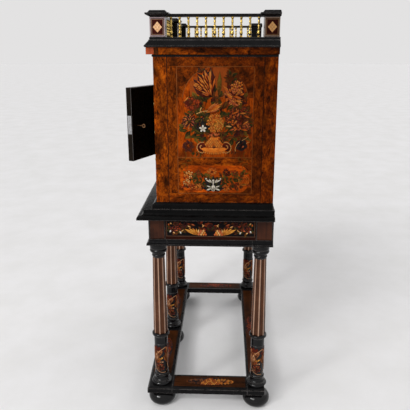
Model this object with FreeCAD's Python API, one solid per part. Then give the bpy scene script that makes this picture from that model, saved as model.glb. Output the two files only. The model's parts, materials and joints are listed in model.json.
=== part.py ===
import FreeCAD, Part
import math
import os

# A marquetry cabinet on a stand of five columns, in millimetres.
# x runs along the front, y from front to back and z up from the floor.
# The origin is on the floor under the middle of the case.

V = FreeCAD.Vector

# Case
case_length = 1082
case_depth = 476
end_thickness = 24
case_bottom_thickness = 26
case_top_thickness = 24
back_panel_thickness = 10
divider_thickness = 18
dust_board_thickness = 12
centre_bay_width = 424
lower_opening_height = 78
bay_height = 345
upper_opening_height = 111
side_drawer_count = 3
back_overhang = 7
top_back_overhang = 3

# Mouldings of the case
base_moulding_height = 26
base_moulding_projection = 18
base_moulding_lip = 5
base_moulding_toe = 9
bead_height = 9
bead_projection = 4
frieze_height = 26
frieze_front_projection = 25
frieze_front_depth = 40
frieze_end_projection = 8
frieze_board_thickness = 24
cornice_height = 36
cornice_projection = 29
cornice_top_projection = 10
cornice_lip_height = 6
cornice_step = 3
cornice_shelf_height = 9

# Gallery
post_width = 57
post_front_projection = 7
post_end_projection = 5
cap_height = 23
cap_flare_height = 8
cap_plate_height = 6
cap_projection = 16
cap_block_projection = 8
rail_height = 11
rail_width = 34
rail_edge_radius = 4
baluster_height = 72
baluster_radius = 6.2
baluster_pitch = 33
baluster_outline_shares = [
    (0.9, 0.0),
    (0.9, 0.06),
    (0.5, 0.09),
    (1.0, 0.22, 0.5, 0.35),
    (0.8, 0.40, 0.5, 0.45),
    (0.5, 0.50),
    (0.92, 0.56, 0.5, 0.62),
    (0.5, 0.65),
    (0.7, 0.78, 0.5, 0.90),
    (0.85, 0.94),
    (0.85, 1.0),
]

# Stand top, apron and lower frame
apron_projection = 36
apron_end_projection = 4
apron_height = 96
apron_thickness = 22
stand_top_height = 40
stand_top_projection = 44
stand_top_step_projection = 18
stand_top_step_height = 13
stand_top_lip_height = 6
lower_frame_height = 26
lower_frame_width = 86
lower_frame_projection = 11
lower_frame_lip_height = 7
lower_frame_top_projection = 2

# Columns, measured from the faces of the apron
front_column_inset = 33
end_column_inset = 37
back_column_inset = 48
column_base_height = 49
column_base_radius = 46
base_torus_height = 20
base_fillet_height = 4
base_fillet_radius = 38
base_scotia_radius = 32
drum_height = 195
drum_radius = 30
ring_height = 20
ring_radius = 38.5
ring_edge_height = 5
ring_seat_radius = 34
shaft_height = 364
shaft_bottom_radius = 31
shaft_top_radius = 25.5
flute_count = 8
flute_depth = 3.4
fillet_width = 6
capital_height = 66
abacus_height = 27
abacus_radius = 37
neck_ring_height = 16
neck_ring_radius = 28.5
neck_radius = 25.5

# Base frame and feet
stretcher_height = 30
front_stretcher_width = 113
end_stretcher_width = 100
back_stretcher_width = 78
frame_front_overhang = 62
frame_end_overhang = 52
frame_back_overhang = 35
frame_edge_radius = 8
frame_edge_step = 3
foot_height = 71
foot_radius = 62
foot_floor_radius = 31
foot_neck_radius = 37
foot_neck_height = 9

# Drawers
drawer_length = 440
drawer_front_thickness = 20
drawer_wall_thickness = 10
drawer_bottom_thickness = 6
drawer_gap = 1
drawer_seat_gap = 0.3
drawer_wall_drop = 6
pull_radius = 9
pull_length = 24
long_drawer_pull_spacing = 560
pull_outline_shares = [
    (1.0, 0.0),
    (1.0, 0.08),
    (0.40, 0.18),
    (0.40, 0.40),
    (1.0, 0.72, 0.40, 1.0),
]

# Door, its hinges and its lock
door_gap = 2
door_thickness = 26
door_rest_angle = 25
hinge_height = 56
hinge_inset = 48
hinge_leaf_gap = 0.2
hinge_leaf_depth = 18
knuckle_radius = 4
knuckle_gap = 0.3
hinge_pin_radius = 1.6
pin_clearance = 0.05
lock_depth = 62
lock_height = 66
lock_thickness = 14
lock_wall = 2
lock_plate_height = 85
lock_plate_width = 20
key_setback = 46
key_drop = 6
key_shank_radius = 2.6
key_reach = 44
key_bow_radius = 9
key_bow_hole_radius = 5
key_bow_thickness = 3
key_bit_length = 8.5
key_bit_width = 2.4
key_bit_depth = 5
key_slot_gap = 0.4
keyhole_radius = 4
bolt_length = 38
bolt_height = 14
bolt_thickness = 8
bolt_throw = 8
bolt_gap = 0.3
bolt_rise = 10
mortise_gap = 1
escutcheon_width = 24
escutcheon_height = 42
escutcheon_thickness = 1.5

# Overrun of cutting tools past the faces that they cut
overrun = 5

# Planes that more than one piece is set against
half_case = case_length / 2
case_front = -case_depth / 2
case_back = case_depth / 2
stand_back = case_back + back_overhang
top_back = case_back + top_back_overhang
inner_half = half_case - end_thickness
panel_front = case_back - back_panel_thickness
apron_half = half_case + apron_end_projection
apron_front = case_front - apron_projection
bay_half = centre_bay_width / 2
column_x = apron_half - end_column_inset
column_front_y = apron_front + front_column_inset
column_back_y = stand_back - back_column_inset
frame_half = column_x + frame_end_overhang
frame_front = column_front_y - frame_front_overhang
frame_back = column_back_y + frame_back_overhang

# Levels from the floor up
z_frame = foot_height
z_column = z_frame + stretcher_height
z_drum = z_column + column_base_height
z_ring = z_drum + drum_height
z_shaft = z_ring + ring_height
z_capital = z_shaft + shaft_height
z_lower_frame = z_capital + capital_height
z_apron = z_lower_frame + lower_frame_height
z_stand_top = z_apron + apron_height
z_case = z_stand_top + stand_top_height
z_lower_opening = z_case + case_bottom_thickness
z_lower_board = z_lower_opening + lower_opening_height
z_bay = z_lower_board + dust_board_thickness
z_upper_board = z_bay + bay_height
z_upper_opening = z_upper_board + dust_board_thickness
z_case_top = z_upper_opening + upper_opening_height
z_frieze = z_case_top + case_top_thickness
z_cornice = z_frieze + frieze_height
z_gallery = z_cornice + cornice_height
z_rail = z_gallery + baluster_height

# Places of the five columns and feet
column_places = {
    "front_left": (-column_x, column_front_y),
    "front_middle": (0, column_front_y),
    "front_right": (column_x, column_front_y),
    "back_left": (-column_x, column_back_y),
    "back_right": (column_x, column_back_y),
}


def block(x0, x1, y0, y1, z0, z1):
    return Part.makeBox(x1 - x0, y1 - y0, z1 - z0, V(x0, y0, z0))


def outline_face(points, place):
    """A face in a closed outline: a point of two numbers ends a line, one of four an arc through its first two."""
    edges = []
    here = place(*points[0][-2:])
    for point in points[1:] + points[:1]:
        there = place(*point[-2:])
        if len(point) == 4:
            edges.append(Part.Arc(here, place(*point[:2]), there).toShape())
        elif here.distanceToPoint(there) > 0:
            edges.append(Part.LineSegment(here, there).toShape())
        here = there
    return Part.Face(Part.Wire(edges))


def turned(outline, x, y, z):
    """A solid turned about an upright axis from an outline of radius and height, bottom to top."""
    closed = [(0, 0)] + outline + [(0, outline[-1][-1])]
    face = outline_face(closed, lambda radius, height: V(radius, 0, height))
    solid = face.revolve(V(0, 0, 0), V(0, 0, 1), 360)
    solid.translate(V(x, y, z))
    return solid


def scaled_outline(shares, radius, height):
    """An outline of shares, set to a radius and a height."""
    return [tuple(s * (height if i % 2 else radius) for i, s in enumerate(point)) for point in shares]


def moulded_slab(profile, half_length, front, back, z):
    """A slab whose front and two ends carry a profile of projection and height, bottom to top."""
    height = profile[-1][-1]
    reach = max(value for point in profile for value in point[::2])
    across = [(back, 0)] + [front_point(point, front) for point in profile] + [(back, height)]
    along = [(0, 0)] + [end_point(point, half_length) for point in profile] + [(0, height)]
    half = half_length + reach
    run = outline_face(across, lambda y, h: V(0, y, z + h)).extrude(V(half, 0, 0))
    end = outline_face(along, lambda x, h: V(x, front - reach, z + h)).extrude(V(0, back - front + reach, 0))
    right = run.common(end)
    left = right.mirror(V(0, 0, 0), V(1, 0, 0))
    return right.fuse(left).removeSplitter()


def front_point(point, front):
    """A profile point turned to face the front."""
    return tuple(value if i % 2 else front - value for i, value in enumerate(point))


def end_point(point, half_length):
    """A profile point turned to face the right end."""
    return tuple(value if i % 2 else half_length + value for i, value in enumerate(point))


def plan_prism(corners, z0, z1):
    face = Part.Face(Part.makePolygon([V(x, y, z0) for x, y in corners + corners[:1]]))
    return face.extrude(V(0, 0, z1 - z0))


def mitred_lengths(slab, half_length, front, back, reach):
    """The front and end lengths of a moulding, cut from its slab with mitres at the front corners."""
    box = slab.BoundBox
    outer_half = half_length + reach
    outer_front = front - reach
    front_plan = [(-half_length, front), (half_length, front), (outer_half, outer_front),
                  (-outer_half, outer_front)]
    right_plan = [(half_length, front), (half_length, back), (outer_half, back), (outer_half, outer_front)]
    left_plan = [(-x, y) for x, y in right_plan]
    return [slab.common(plan_prism(plan, box.ZMin, box.ZMax)) for plan in (front_plan, right_plan, left_plan)]


def solids_of(shapes):
    return Part.makeCompound([solid for shape in shapes for solid in shape.Solids])


def bun_foot(x, y):
    shoulder = foot_height - foot_neck_height
    outline = [
        (foot_floor_radius, 0),
        (foot_radius, shoulder / 2, foot_neck_radius, shoulder),
        (foot_neck_radius, foot_height),
    ]
    return turned(outline, x, y, 0)


def base_frame():
    """The four stretchers that the columns stand on, the end ones housed between the long ones."""
    edge_start = stretcher_height - frame_edge_radius
    diagonal = frame_edge_radius * math.sqrt(0.5)
    profile = [
        (0, 0),
        (0, edge_start),
        (-frame_edge_step, edge_start),
        (diagonal - frame_edge_radius - frame_edge_step, edge_start + diagonal,
         -frame_edge_radius - frame_edge_step, stretcher_height),
    ]
    slab = moulded_slab(profile, frame_half, frame_front, frame_back, z_frame)
    inner_front = frame_front + front_stretcher_width
    inner_back = frame_back - back_stretcher_width
    inner_half_length = frame_half - end_stretcher_width
    spans = {
        "stretcher_front": (-frame_half, frame_half, frame_front, inner_front),
        "stretcher_back": (-frame_half, frame_half, inner_back, frame_back),
        "stretcher_left": (-frame_half, -inner_half_length, inner_front, inner_back),
        "stretcher_right": (inner_half_length, frame_half, inner_front, inner_back),
    }
    return {name: slab.common(block(*span, z_frame, z_column)) for name, span in spans.items()}


def column_base(x, y):
    torus_inner = column_base_radius - base_torus_height / 2
    fillet_top = base_torus_height + base_fillet_height
    upper_fillet = column_base_height - base_fillet_height
    scotia_middle = (fillet_top + upper_fillet) / 2
    outline = [
        (torus_inner, 0),
        (column_base_radius, base_torus_height / 2, torus_inner, base_torus_height),
        (base_fillet_radius, base_torus_height),
        (base_fillet_radius, fillet_top),
        (base_scotia_radius, scotia_middle, ring_seat_radius, upper_fillet),
        (ring_seat_radius, column_base_height),
    ]
    return turned(outline, x, y, z_column)


def column_drum(x, y):
    return turned([(drum_radius, 0), (drum_radius, drum_height)], x, y, z_drum)


def column_ring(x, y):
    edge_bottom = (ring_height - ring_edge_height) / 2
    edge_top = edge_bottom + ring_edge_height
    flare = (drum_radius + ring_radius) / 2
    outline = [
        (drum_radius, 0),
        (ring_radius - (ring_radius - flare) / 2, edge_bottom / 2, ring_radius, edge_bottom),
        (ring_radius, edge_top),
        (ring_seat_radius, ring_height),
    ]
    return turned(outline, x, y, z_ring)


def shaft_section(radius, z):
    """The fluted outline of the shaft at one height, with a flat fillet between every two flutes."""
    pitch = 2 * math.pi / flute_count
    half_fillet = fillet_width / shaft_bottom_radius / 2
    hollow = radius - flute_depth * radius / shaft_bottom_radius

    def rim(angle, at_radius=radius):
        return V(at_radius * math.cos(angle), at_radius * math.sin(angle), z)

    edges = []
    for flute in range(flute_count):
        angle = flute * pitch
        start = rim(angle + half_fillet)
        end = rim(angle + pitch - half_fillet)
        edges.append(Part.LineSegment(rim(angle - half_fillet), start).toShape())
        edges.append(Part.Arc(start, rim(angle + pitch / 2, hollow), end).toShape())
    return Part.Wire(edges)


def column_shaft(x, y):
    sections = [shaft_section(shaft_bottom_radius, z_shaft), shaft_section(shaft_top_radius, z_capital)]
    shaft = Part.makeLoft(sections, True, True)
    shaft.translate(V(x, y, 0))
    return shaft


def column_capital(x, y):
    abacus_bottom = capital_height - abacus_height
    echinus_height = abacus_bottom - neck_ring_height
    bulge = (abacus_radius - neck_radius) * math.sqrt(0.5)
    outline = [
        (neck_radius, 0),
        (neck_ring_radius, neck_ring_height / 2, neck_radius, neck_ring_height),
        (neck_radius + bulge, neck_ring_height + echinus_height - echinus_height * math.sqrt(0.5),
         abacus_radius, abacus_bottom),
        (abacus_radius, capital_height),
    ]
    return turned(outline, x, y, z_capital)


def column(x, y):
    pieces = [column_base, column_drum, column_ring, column_shaft, column_capital]
    return solids_of([piece(x, y) for piece in pieces])


def lower_frame():
    """The flat frame on the capitals, moulded along its front and ends."""
    slope_top = lower_frame_height - lower_frame_lip_height
    middle = (lower_frame_projection + lower_frame_top_projection) / 2
    profile = [
        (lower_frame_projection, 0),
        (lower_frame_projection, lower_frame_lip_height),
        (middle - lower_frame_top_projection, lower_frame_height / 2, lower_frame_top_projection, slope_top),
        (lower_frame_top_projection, lower_frame_height),
    ]
    slab = moulded_slab(profile, apron_half, apron_front, stand_back, z_lower_frame)
    reach_half = apron_half + lower_frame_projection
    reach_front = apron_front - lower_frame_projection
    inner_front = reach_front + lower_frame_width
    inner_back = stand_back - lower_frame_width
    inner_half_length = reach_half - lower_frame_width
    spans = [
        (-reach_half, reach_half, reach_front, inner_front),
        (-reach_half, reach_half, inner_back, stand_back),
        (-reach_half, -inner_half_length, inner_front, inner_back),
        (inner_half_length, reach_half, inner_front, inner_back),
    ]
    return solids_of([slab.common(block(*span, z_lower_frame, z_apron)) for span in spans])


def aprons():
    """The four boards under the stand top, the long ones housed between the ends."""
    inner = apron_half - apron_thickness
    spans = {
        "apron_left": (-apron_half, -inner, apron_front, stand_back),
        "apron_right": (inner, apron_half, apron_front, stand_back),
        "apron_front": (-inner, inner, apron_front, apron_front + apron_thickness),
        "apron_back": (-inner, inner, stand_back - apron_thickness, stand_back),
    }
    return {name: block(*span, z_apron, z_stand_top) for name, span in spans.items()}


def stand_top():
    """The top of the stand, with an ogee edge under a square step."""
    step_bottom = stand_top_height - stand_top_step_height
    ogee_middle = (stand_top_lip_height + step_bottom) / 2
    half_way = (stand_top_projection + stand_top_step_projection) / 2
    lower_bulge = (stand_top_projection + half_way) / 2
    upper_hollow = (stand_top_step_projection + half_way) / 2
    quarter = (step_bottom - stand_top_lip_height) / 4
    sag = quarter / 2
    profile = [
        (stand_top_projection, 0),
        (stand_top_projection, stand_top_lip_height),
        (lower_bulge + sag, ogee_middle - quarter + sag, half_way, ogee_middle),
        (upper_hollow - sag, ogee_middle + quarter - sag, stand_top_step_projection, step_bottom),
        (stand_top_step_projection, stand_top_height),
    ]
    return moulded_slab(profile, apron_half, apron_front, stand_back, z_stand_top)


def base_moulding():
    """The moulding that holds the foot of the case on its front and ends."""
    bulge = (base_moulding_projection - base_moulding_lip) * math.sqrt(0.5)
    rise = (base_moulding_height - base_moulding_toe) * math.sqrt(0.5)
    profile = [
        (base_moulding_projection, 0),
        (base_moulding_projection, base_moulding_toe),
        (base_moulding_lip + bulge, base_moulding_toe + rise, base_moulding_lip, base_moulding_height),
    ]
    slab = moulded_slab(profile, half_case, case_front, case_back, z_case)
    return solids_of(mitred_lengths(slab, half_case, case_front, case_back, base_moulding_projection))


def neck_bead():
    """The half-round bead under the frieze."""
    profile = [(0, 0), (bead_projection, bead_height / 2, 0, bead_height)]
    slab = moulded_slab(profile, half_case, case_front, case_back, z_frieze - bead_height)
    return solids_of(mitred_lengths(slab, half_case, case_front, case_back, bead_projection))


def case_end(side):
    outer = side * half_case
    inner = side * inner_half
    return block(min(outer, inner), max(outer, inner), case_front, case_back, z_case, z_frieze)


def case_bottom():
    return block(-inner_half, inner_half, case_front, panel_front, z_case, z_lower_opening)


def case_top():
    return block(-inner_half, inner_half, case_front, panel_front, z_case_top, z_frieze)


def back_panel():
    return block(-inner_half, inner_half, panel_front, case_back, z_case, z_frieze)


def divider(side):
    inner = side * bay_half
    outer = side * (bay_half + divider_thickness)
    return block(min(outer, inner), max(outer, inner), case_front, panel_front, z_bay, z_upper_board)


def bolt_mortise():
    """The hole in the right divider that the bolt enters."""
    y0, y1, z0, z1 = bolt_span()
    bottom = bay_half + bolt_throw + mortise_gap
    return block(bay_half - overrun, bottom, y0 - mortise_gap, y1 + mortise_gap,
                 z0 - mortise_gap, z1 + mortise_gap)


def side_opening_height():
    boards = (side_drawer_count - 1) * dust_board_thickness
    return (bay_height - boards) / side_drawer_count


def dust_boards():
    """The two full boards and the short ones between the side drawers."""
    outer = bay_half + divider_thickness
    places = [(-inner_half, inner_half, z_lower_board), (-inner_half, inner_half, z_upper_board)]
    for row in range(1, side_drawer_count):
        z = z_bay + row * (side_opening_height() + dust_board_thickness) - dust_board_thickness
        places += [(-inner_half, -outer, z), (outer, inner_half, z)]
    return solids_of([
        block(x0, x1, case_front, panel_front, z, z + dust_board_thickness) for x0, x1, z in places
    ])


def frieze():
    """The boards of the frieze: a deep front board that runs through, two ends and a back rail."""
    half = half_case + frieze_end_projection
    inner = half - frieze_board_thickness
    front = case_front - frieze_front_projection
    board_back = front + frieze_front_depth
    rail_front = top_back - frieze_board_thickness
    spans = [
        (-half, half, front, board_back),
        (-half, -inner, board_back, top_back),
        (inner, half, board_back, top_back),
        (-inner, inner, rail_front, top_back),
    ]
    return solids_of([block(*span, z_frieze, z_cornice) for span in spans])


def cornice():
    """The top board, whose edge slopes out from a square shelf to a lip over the frieze."""
    shelf_bottom = cornice_height - cornice_shelf_height
    profile = [
        (cornice_projection - cornice_step, 0),
        (cornice_projection, cornice_step),
        (cornice_projection, cornice_lip_height),
        (cornice_projection - cornice_step, cornice_lip_height + cornice_step),
        (cornice_top_projection + cornice_step, shelf_bottom - cornice_step),
        (cornice_top_projection + cornice_step, shelf_bottom),
        (cornice_top_projection, shelf_bottom),
        (cornice_top_projection, cornice_height),
    ]
    return moulded_slab(profile, half_case, case_front, top_back, z_cornice)


post_x = half_case + post_end_projection - post_width / 2
post_front_y = case_front - post_front_projection + post_width / 2
post_back_y = case_back - post_width / 2
post_places = [
    (-post_x, post_front_y),
    (0, post_front_y),
    (post_x, post_front_y),
    (-post_x, post_back_y),
    (post_x, post_back_y),
]


def gallery_post(x, y):
    half = post_width / 2
    return block(x - half, x + half, y - half, y + half, z_gallery, z_rail)


def post_cap(x, y):
    """A cap that flares from the post to a plate and carries a low block, cut flush at the back."""
    half = post_width / 2
    plate_half = half + cap_projection
    block_half = half + cap_block_projection
    plate_top = cap_flare_height + cap_plate_height
    right = [(half, 0), (plate_half, cap_flare_height), (plate_half, plate_top), (block_half, plate_top),
             (half, cap_height)]
    outline = right + [(-across, height) for across, height in reversed(right)]
    along_y = outline_face(outline, lambda across, height: V(x + across, y - plate_half, z_rail + height))
    along_x = outline_face(outline, lambda across, height: V(x - plate_half, y + across, z_rail + height))
    back = min(y + plate_half, top_back)
    return along_y.extrude(V(0, back - y + plate_half, 0)).common(along_x.extrude(V(plate_half * 2, 0, 0)))


def gallery_posts():
    return solids_of([piece(x, y) for x, y in post_places for piece in (gallery_post, post_cap)])


def gallery_spans():
    """The open runs of the gallery between its posts: start, end and whether the run goes along x."""
    half = post_width / 2
    spans = []
    for side in (-1, 1):
        near, far = sorted((side * half, side * (post_x - half)))
        spans.append(((near, post_front_y), (far, post_front_y), True))
        spans.append(((side * post_x, post_front_y + half), (side * post_x, post_back_y - half), False))
    return spans


def gallery_rails():
    """The hand rails, round-edged, housed between the flared caps."""
    half = rail_width / 2
    edge = half - rail_edge_radius
    diagonal = rail_edge_radius * math.sqrt(0.5)
    shoulder = rail_height - rail_edge_radius
    outline = [
        (-half, 0),
        (half, 0),
        (half, shoulder),
        (edge + diagonal, shoulder + diagonal, edge, rail_height),
        (-edge, rail_height),
        (-edge - diagonal, shoulder + diagonal, -half, shoulder),
    ]
    caps = [post_cap(x, y) for x, y in post_places]
    rails = []
    for start, end, along_x in gallery_spans():
        if along_x:
            face = outline_face(outline, lambda across, h: V(start[0], start[1] + across, z_rail + h))
        else:
            face = outline_face(outline, lambda across, h: V(start[0] + across, start[1], z_rail + h))
        rails.append(face.extrude(V(end[0] - start[0], end[1] - start[1], 0)).cut(caps))
    return solids_of(rails)


def gallery_balusters():
    outline = scaled_outline(baluster_outline_shares, baluster_radius, baluster_height)
    pattern = turned(outline, 0, 0, z_gallery)
    balusters = []
    for start, end, along_x in gallery_spans():
        span = math.dist(start, end)
        count = round(span / baluster_pitch)
        for step in range(count):
            from_middle = (step + 0.5 - count / 2) * baluster_pitch
            part_way = 0.5 + from_middle / span
            baluster = pattern.copy()
            baluster.translate(V(
                start[0] + (end[0] - start[0]) * part_way,
                start[1] + (end[1] - start[1]) * part_way,
                0,
            ))
            balusters.append(baluster)
    return solids_of(balusters)


def drawer_openings():
    """The drawer openings in the front: x from and to, z from and to."""
    outer = bay_half + divider_thickness
    openings = {
        "lower_drawer": (-inner_half, inner_half, z_lower_opening, z_lower_board),
        "upper_drawer": (-inner_half, inner_half, z_upper_opening, z_case_top),
    }
    height = side_opening_height()
    for side, x0, x1 in (("left", -inner_half, -outer), ("right", outer, inner_half)):
        for row in range(side_drawer_count):
            z0 = z_bay + row * (height + dust_board_thickness)
            openings[f"{side}_drawer_{row + 1}"] = (x0, x1, z0, z0 + height)
    return openings


def drawer(x0, x1, z0, z1):
    """A drawer of a front, two sides, a back and a bottom, closed flush with the case."""
    x0 += drawer_gap
    x1 -= drawer_gap
    z0 += drawer_seat_gap
    z1 -= drawer_gap
    wall_top = z1 - drawer_wall_drop
    box_front = case_front + drawer_front_thickness
    box_back = case_front + drawer_length
    inner_back = box_back - drawer_wall_thickness
    inner_left = x0 + drawer_wall_thickness
    inner_right = x1 - drawer_wall_thickness
    floor = z0 + drawer_bottom_thickness
    return solids_of([
        block(x0, x1, case_front, box_front, z0, z1),
        block(x0, inner_left, box_front, box_back, z0, wall_top),
        block(inner_right, x1, box_front, box_back, z0, wall_top),
        block(inner_left, inner_right, inner_back, box_back, z0, wall_top),
        block(inner_left, inner_right, box_front, inner_back, z0, floor),
    ])


def drawer_pulls(x0, x1, z0, z1):
    """One turned knob in the middle of a short drawer, or a pair on a long one."""
    middle = (x0 + x1) / 2
    is_long = x1 - x0 > long_drawer_pull_spacing
    offset = long_drawer_pull_spacing / 2
    places = [middle - offset, middle + offset] if is_long else [middle]
    knobs = []
    for x in places:
        knob = turned(scaled_outline(pull_outline_shares, pull_radius, pull_length), 0, 0, 0)
        knob.rotate(V(0, 0, 0), V(1, 0, 0), 90)
        knob.translate(V(x, case_front, (z0 + z1) / 2))
        knobs.append(knob)
    return solids_of(knobs)


# Places of the door, its lock and its hinges with the door closed
door_half = bay_half - door_gap
door_back = case_front + door_thickness
door_middle_y = case_front + door_thickness / 2
z_door = z_bay + door_gap
z_door_top = z_upper_board - door_gap
z_lock = (z_door + z_door_top) / 2
key_x = door_half - key_setback
z_key = z_lock - key_drop
hinge_x = -bay_half + door_gap / 2
hinge_y = case_front - knuckle_radius - knuckle_gap
leaf_thickness = (door_gap - hinge_leaf_gap) / 2
hinge_levels = [z_door + hinge_inset, z_door_top - hinge_inset - hinge_height]


def bolt_span():
    """The bolt's section: y from and to, z from and to."""
    z0 = z_key + bolt_rise
    return door_middle_y - bolt_thickness / 2, door_middle_y + bolt_thickness / 2, z0, z0 + bolt_height


def lock_blocks():
    """The two blocks of the lock that are let into the door's free edge: its case and its edge plate."""
    half_height = lock_height / 2
    half_thickness = lock_thickness / 2
    half_plate = lock_plate_height / 2
    half_width = lock_plate_width / 2
    case = block(door_half - lock_depth, door_half, door_middle_y - half_thickness,
                 door_middle_y + half_thickness, z_lock - half_height, z_lock + half_height)
    plate = block(door_half - lock_wall, door_half, door_middle_y - half_width,
                  door_middle_y + half_width, z_lock - half_plate, z_lock + half_plate)
    return case, plate


def keyhole(radius, y0, y1):
    """A round hole with a slot below it that lets the key's bit pass."""
    half_slot = key_bit_width / 2 + key_slot_gap
    slot_bottom = z_key - key_bit_length - key_slot_gap
    hole = Part.makeCylinder(radius, y1 - y0, V(key_x, y0, z_key), V(0, 1, 0))
    return hole.fuse(block(key_x - half_slot, key_x + half_slot, y0, y1, slot_bottom, z_key))


def door_panel():
    panel = block(-door_half, door_half, case_front, door_back, z_door, z_door_top)
    return panel.cut([*lock_blocks(), keyhole(keyhole_radius, case_front - overrun, door_back + overrun)])


def door_lock():
    """The hollow lock case with its edge plate, the slot for the bolt and the hole for the key."""
    case, plate = lock_blocks()
    y0, y1, z0, z1 = bolt_span()
    half_room = lock_thickness / 2 - lock_wall
    half_height = lock_height / 2 - lock_wall
    room = block(door_half - lock_depth + lock_wall, door_half - lock_wall, door_middle_y - half_room,
                 door_middle_y + half_room, z_lock - half_height, z_lock + half_height)
    slot = block(door_half - lock_wall - overrun, door_half + overrun, y0 - bolt_gap, y1 + bolt_gap,
                 z0 - bolt_gap, z1 + bolt_gap)
    hole = keyhole(key_shank_radius + pin_clearance, door_middle_y, door_back)
    return case.fuse(plate).removeSplitter().cut([room, slot, hole])


def lock_bolt():
    y0, y1, z0, z1 = bolt_span()
    return block(door_half - bolt_length, door_half, y0, y1, z0, z1)


def door_key():
    """The key, put in from the inner face with its bit hanging down."""
    tip = door_middle_y - key_bit_depth / 2
    end = door_back + key_reach - key_bow_radius * 2
    shank = Part.makeCylinder(key_shank_radius, end - tip, V(key_x, tip, z_key), V(0, 1, 0))
    half_bit = key_bit_width / 2
    bit = block(key_x - half_bit, key_x + half_bit, tip, tip + key_bit_depth, z_key - key_bit_length, z_key)
    bow_start = V(key_x - key_bow_thickness / 2, end + key_bow_radius, z_key)
    bow = Part.makeCylinder(key_bow_radius, key_bow_thickness, bow_start, V(1, 0, 0))
    eye = Part.makeCylinder(key_bow_hole_radius, key_bow_thickness, bow_start, V(1, 0, 0))
    root = Part.makeCylinder(key_shank_radius, key_bow_radius - key_bow_hole_radius,
                             V(key_x, end, z_key), V(0, 1, 0))
    return shank.fuse([root, bit, bow.cut(eye)]).removeSplitter()


def escutcheon():
    """The brass plate round the keyhole on the outer face."""
    half = escutcheon_width / 2
    shoulder = escutcheon_height / 2 - half
    y0 = case_front - escutcheon_thickness
    z0 = z_key - shoulder
    plate = block(key_x - half, key_x + half, y0, case_front, z0, z_key + shoulder)
    rounds = [
        Part.makeCylinder(half, escutcheon_thickness, V(key_x, y0, z), V(0, 1, 0))
        for z in (z0, z_key + shoulder)
    ]
    hole = keyhole(keyhole_radius, y0 - overrun, case_front + overrun)
    return plate.fuse(rounds).removeSplitter().cut(hole)


def hinge_leaf(side, z, knuckles):
    """A leaf in the gap beside the door with its knuckles, each a span of height along the pin."""
    inner = hinge_x + side * hinge_leaf_gap / 2
    outer = inner + side * leaf_thickness
    x0, x1 = sorted((inner, outer))
    leaf = block(x0, x1, case_front, case_front + hinge_leaf_depth, z, z + hinge_height)
    for low, high in knuckles:
        barrel = Part.makeCylinder(knuckle_radius, high - low, V(hinge_x, hinge_y, low))
        neck = block(x0, x1, hinge_y, case_front, low, high)
        leaf = leaf.fuse([barrel, neck])
    bore = Part.makeCylinder(hinge_pin_radius + pin_clearance, hinge_height, V(hinge_x, hinge_y, z))
    return leaf.removeSplitter().cut(bore)


def knuckle_spans(z):
    """The three knuckles of one hinge from the bottom: case, door, case."""
    third = hinge_height / 3
    return [
        (z, z + third - knuckle_gap),
        (z + third, z + third * 2),
        (z + third * 2 + knuckle_gap, z + hinge_height),
    ]


def door_hinge_leaves():
    return solids_of([hinge_leaf(1, z, knuckle_spans(z)[1:2]) for z in hinge_levels])


def case_hinge_leaves():
    return solids_of([hinge_leaf(-1, z, knuckle_spans(z)[::2]) for z in hinge_levels])


def hinge_pins():
    pins = [Part.makeCylinder(hinge_pin_radius, hinge_height, V(hinge_x, hinge_y, z)) for z in hinge_levels]
    return solids_of(pins)


def opened(shape):
    """A piece of the door turned from closed to where the door rests ajar."""
    turned_shape = shape.copy()
    turned_shape.rotate(V(hinge_x, hinge_y, 0), V(0, 0, 1), -door_rest_angle)
    return turned_shape


def stand_nodes():
    nodes = {f"foot_{name}": bun_foot(x, y) for name, (x, y) in column_places.items()}
    nodes.update(base_frame())
    nodes.update({f"column_{name}": column(x, y) for name, (x, y) in column_places.items()})
    nodes["lower_frame"] = lower_frame()
    nodes.update(aprons())
    nodes["stand_top"] = stand_top()
    return nodes


def case_nodes():
    return {
        "base_moulding": base_moulding(),
        "case_bottom": case_bottom(),
        "case_top": case_top(),
        "left_end": case_end(-1),
        "right_end": case_end(1),
        "back_panel": back_panel(),
        "left_divider": divider(-1),
        "right_divider": divider(1).cut(bolt_mortise()),
        "dust_boards": dust_boards(),
        "neck_bead": neck_bead(),
        "frieze": frieze(),
        "cornice": cornice(),
        "gallery_posts": gallery_posts(),
        "gallery_rails": gallery_rails(),
        "gallery_balusters": gallery_balusters(),
        "case_hinge_leaves": case_hinge_leaves(),
        "hinge_pins": hinge_pins(),
    }


def door_nodes():
    closed = {
        "door_panel": door_panel(),
        "door_hinge_leaves": door_hinge_leaves(),
        "door_lock": door_lock(),
        "lock_bolt": lock_bolt(),
        "door_key": door_key(),
        "door_escutcheon": escutcheon(),
    }
    return {name: opened(shape) for name, shape in closed.items()}


def drawer_nodes():
    nodes = {}
    for name, opening in drawer_openings().items():
        nodes[name] = drawer(*opening)
        nodes[f"{name}_pull"] = drawer_pulls(*opening)
    return nodes


os.makedirs("parts", exist_ok=True)
for node_group in (stand_nodes(), case_nodes(), door_nodes(), drawer_nodes()):
    for node, node_shape in node_group.items():
        node_shape.exportStep(f"parts/{node}.step")
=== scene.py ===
import json
import math
import random

import bmesh
import bpy
from mathutils import Matrix, Vector


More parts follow.
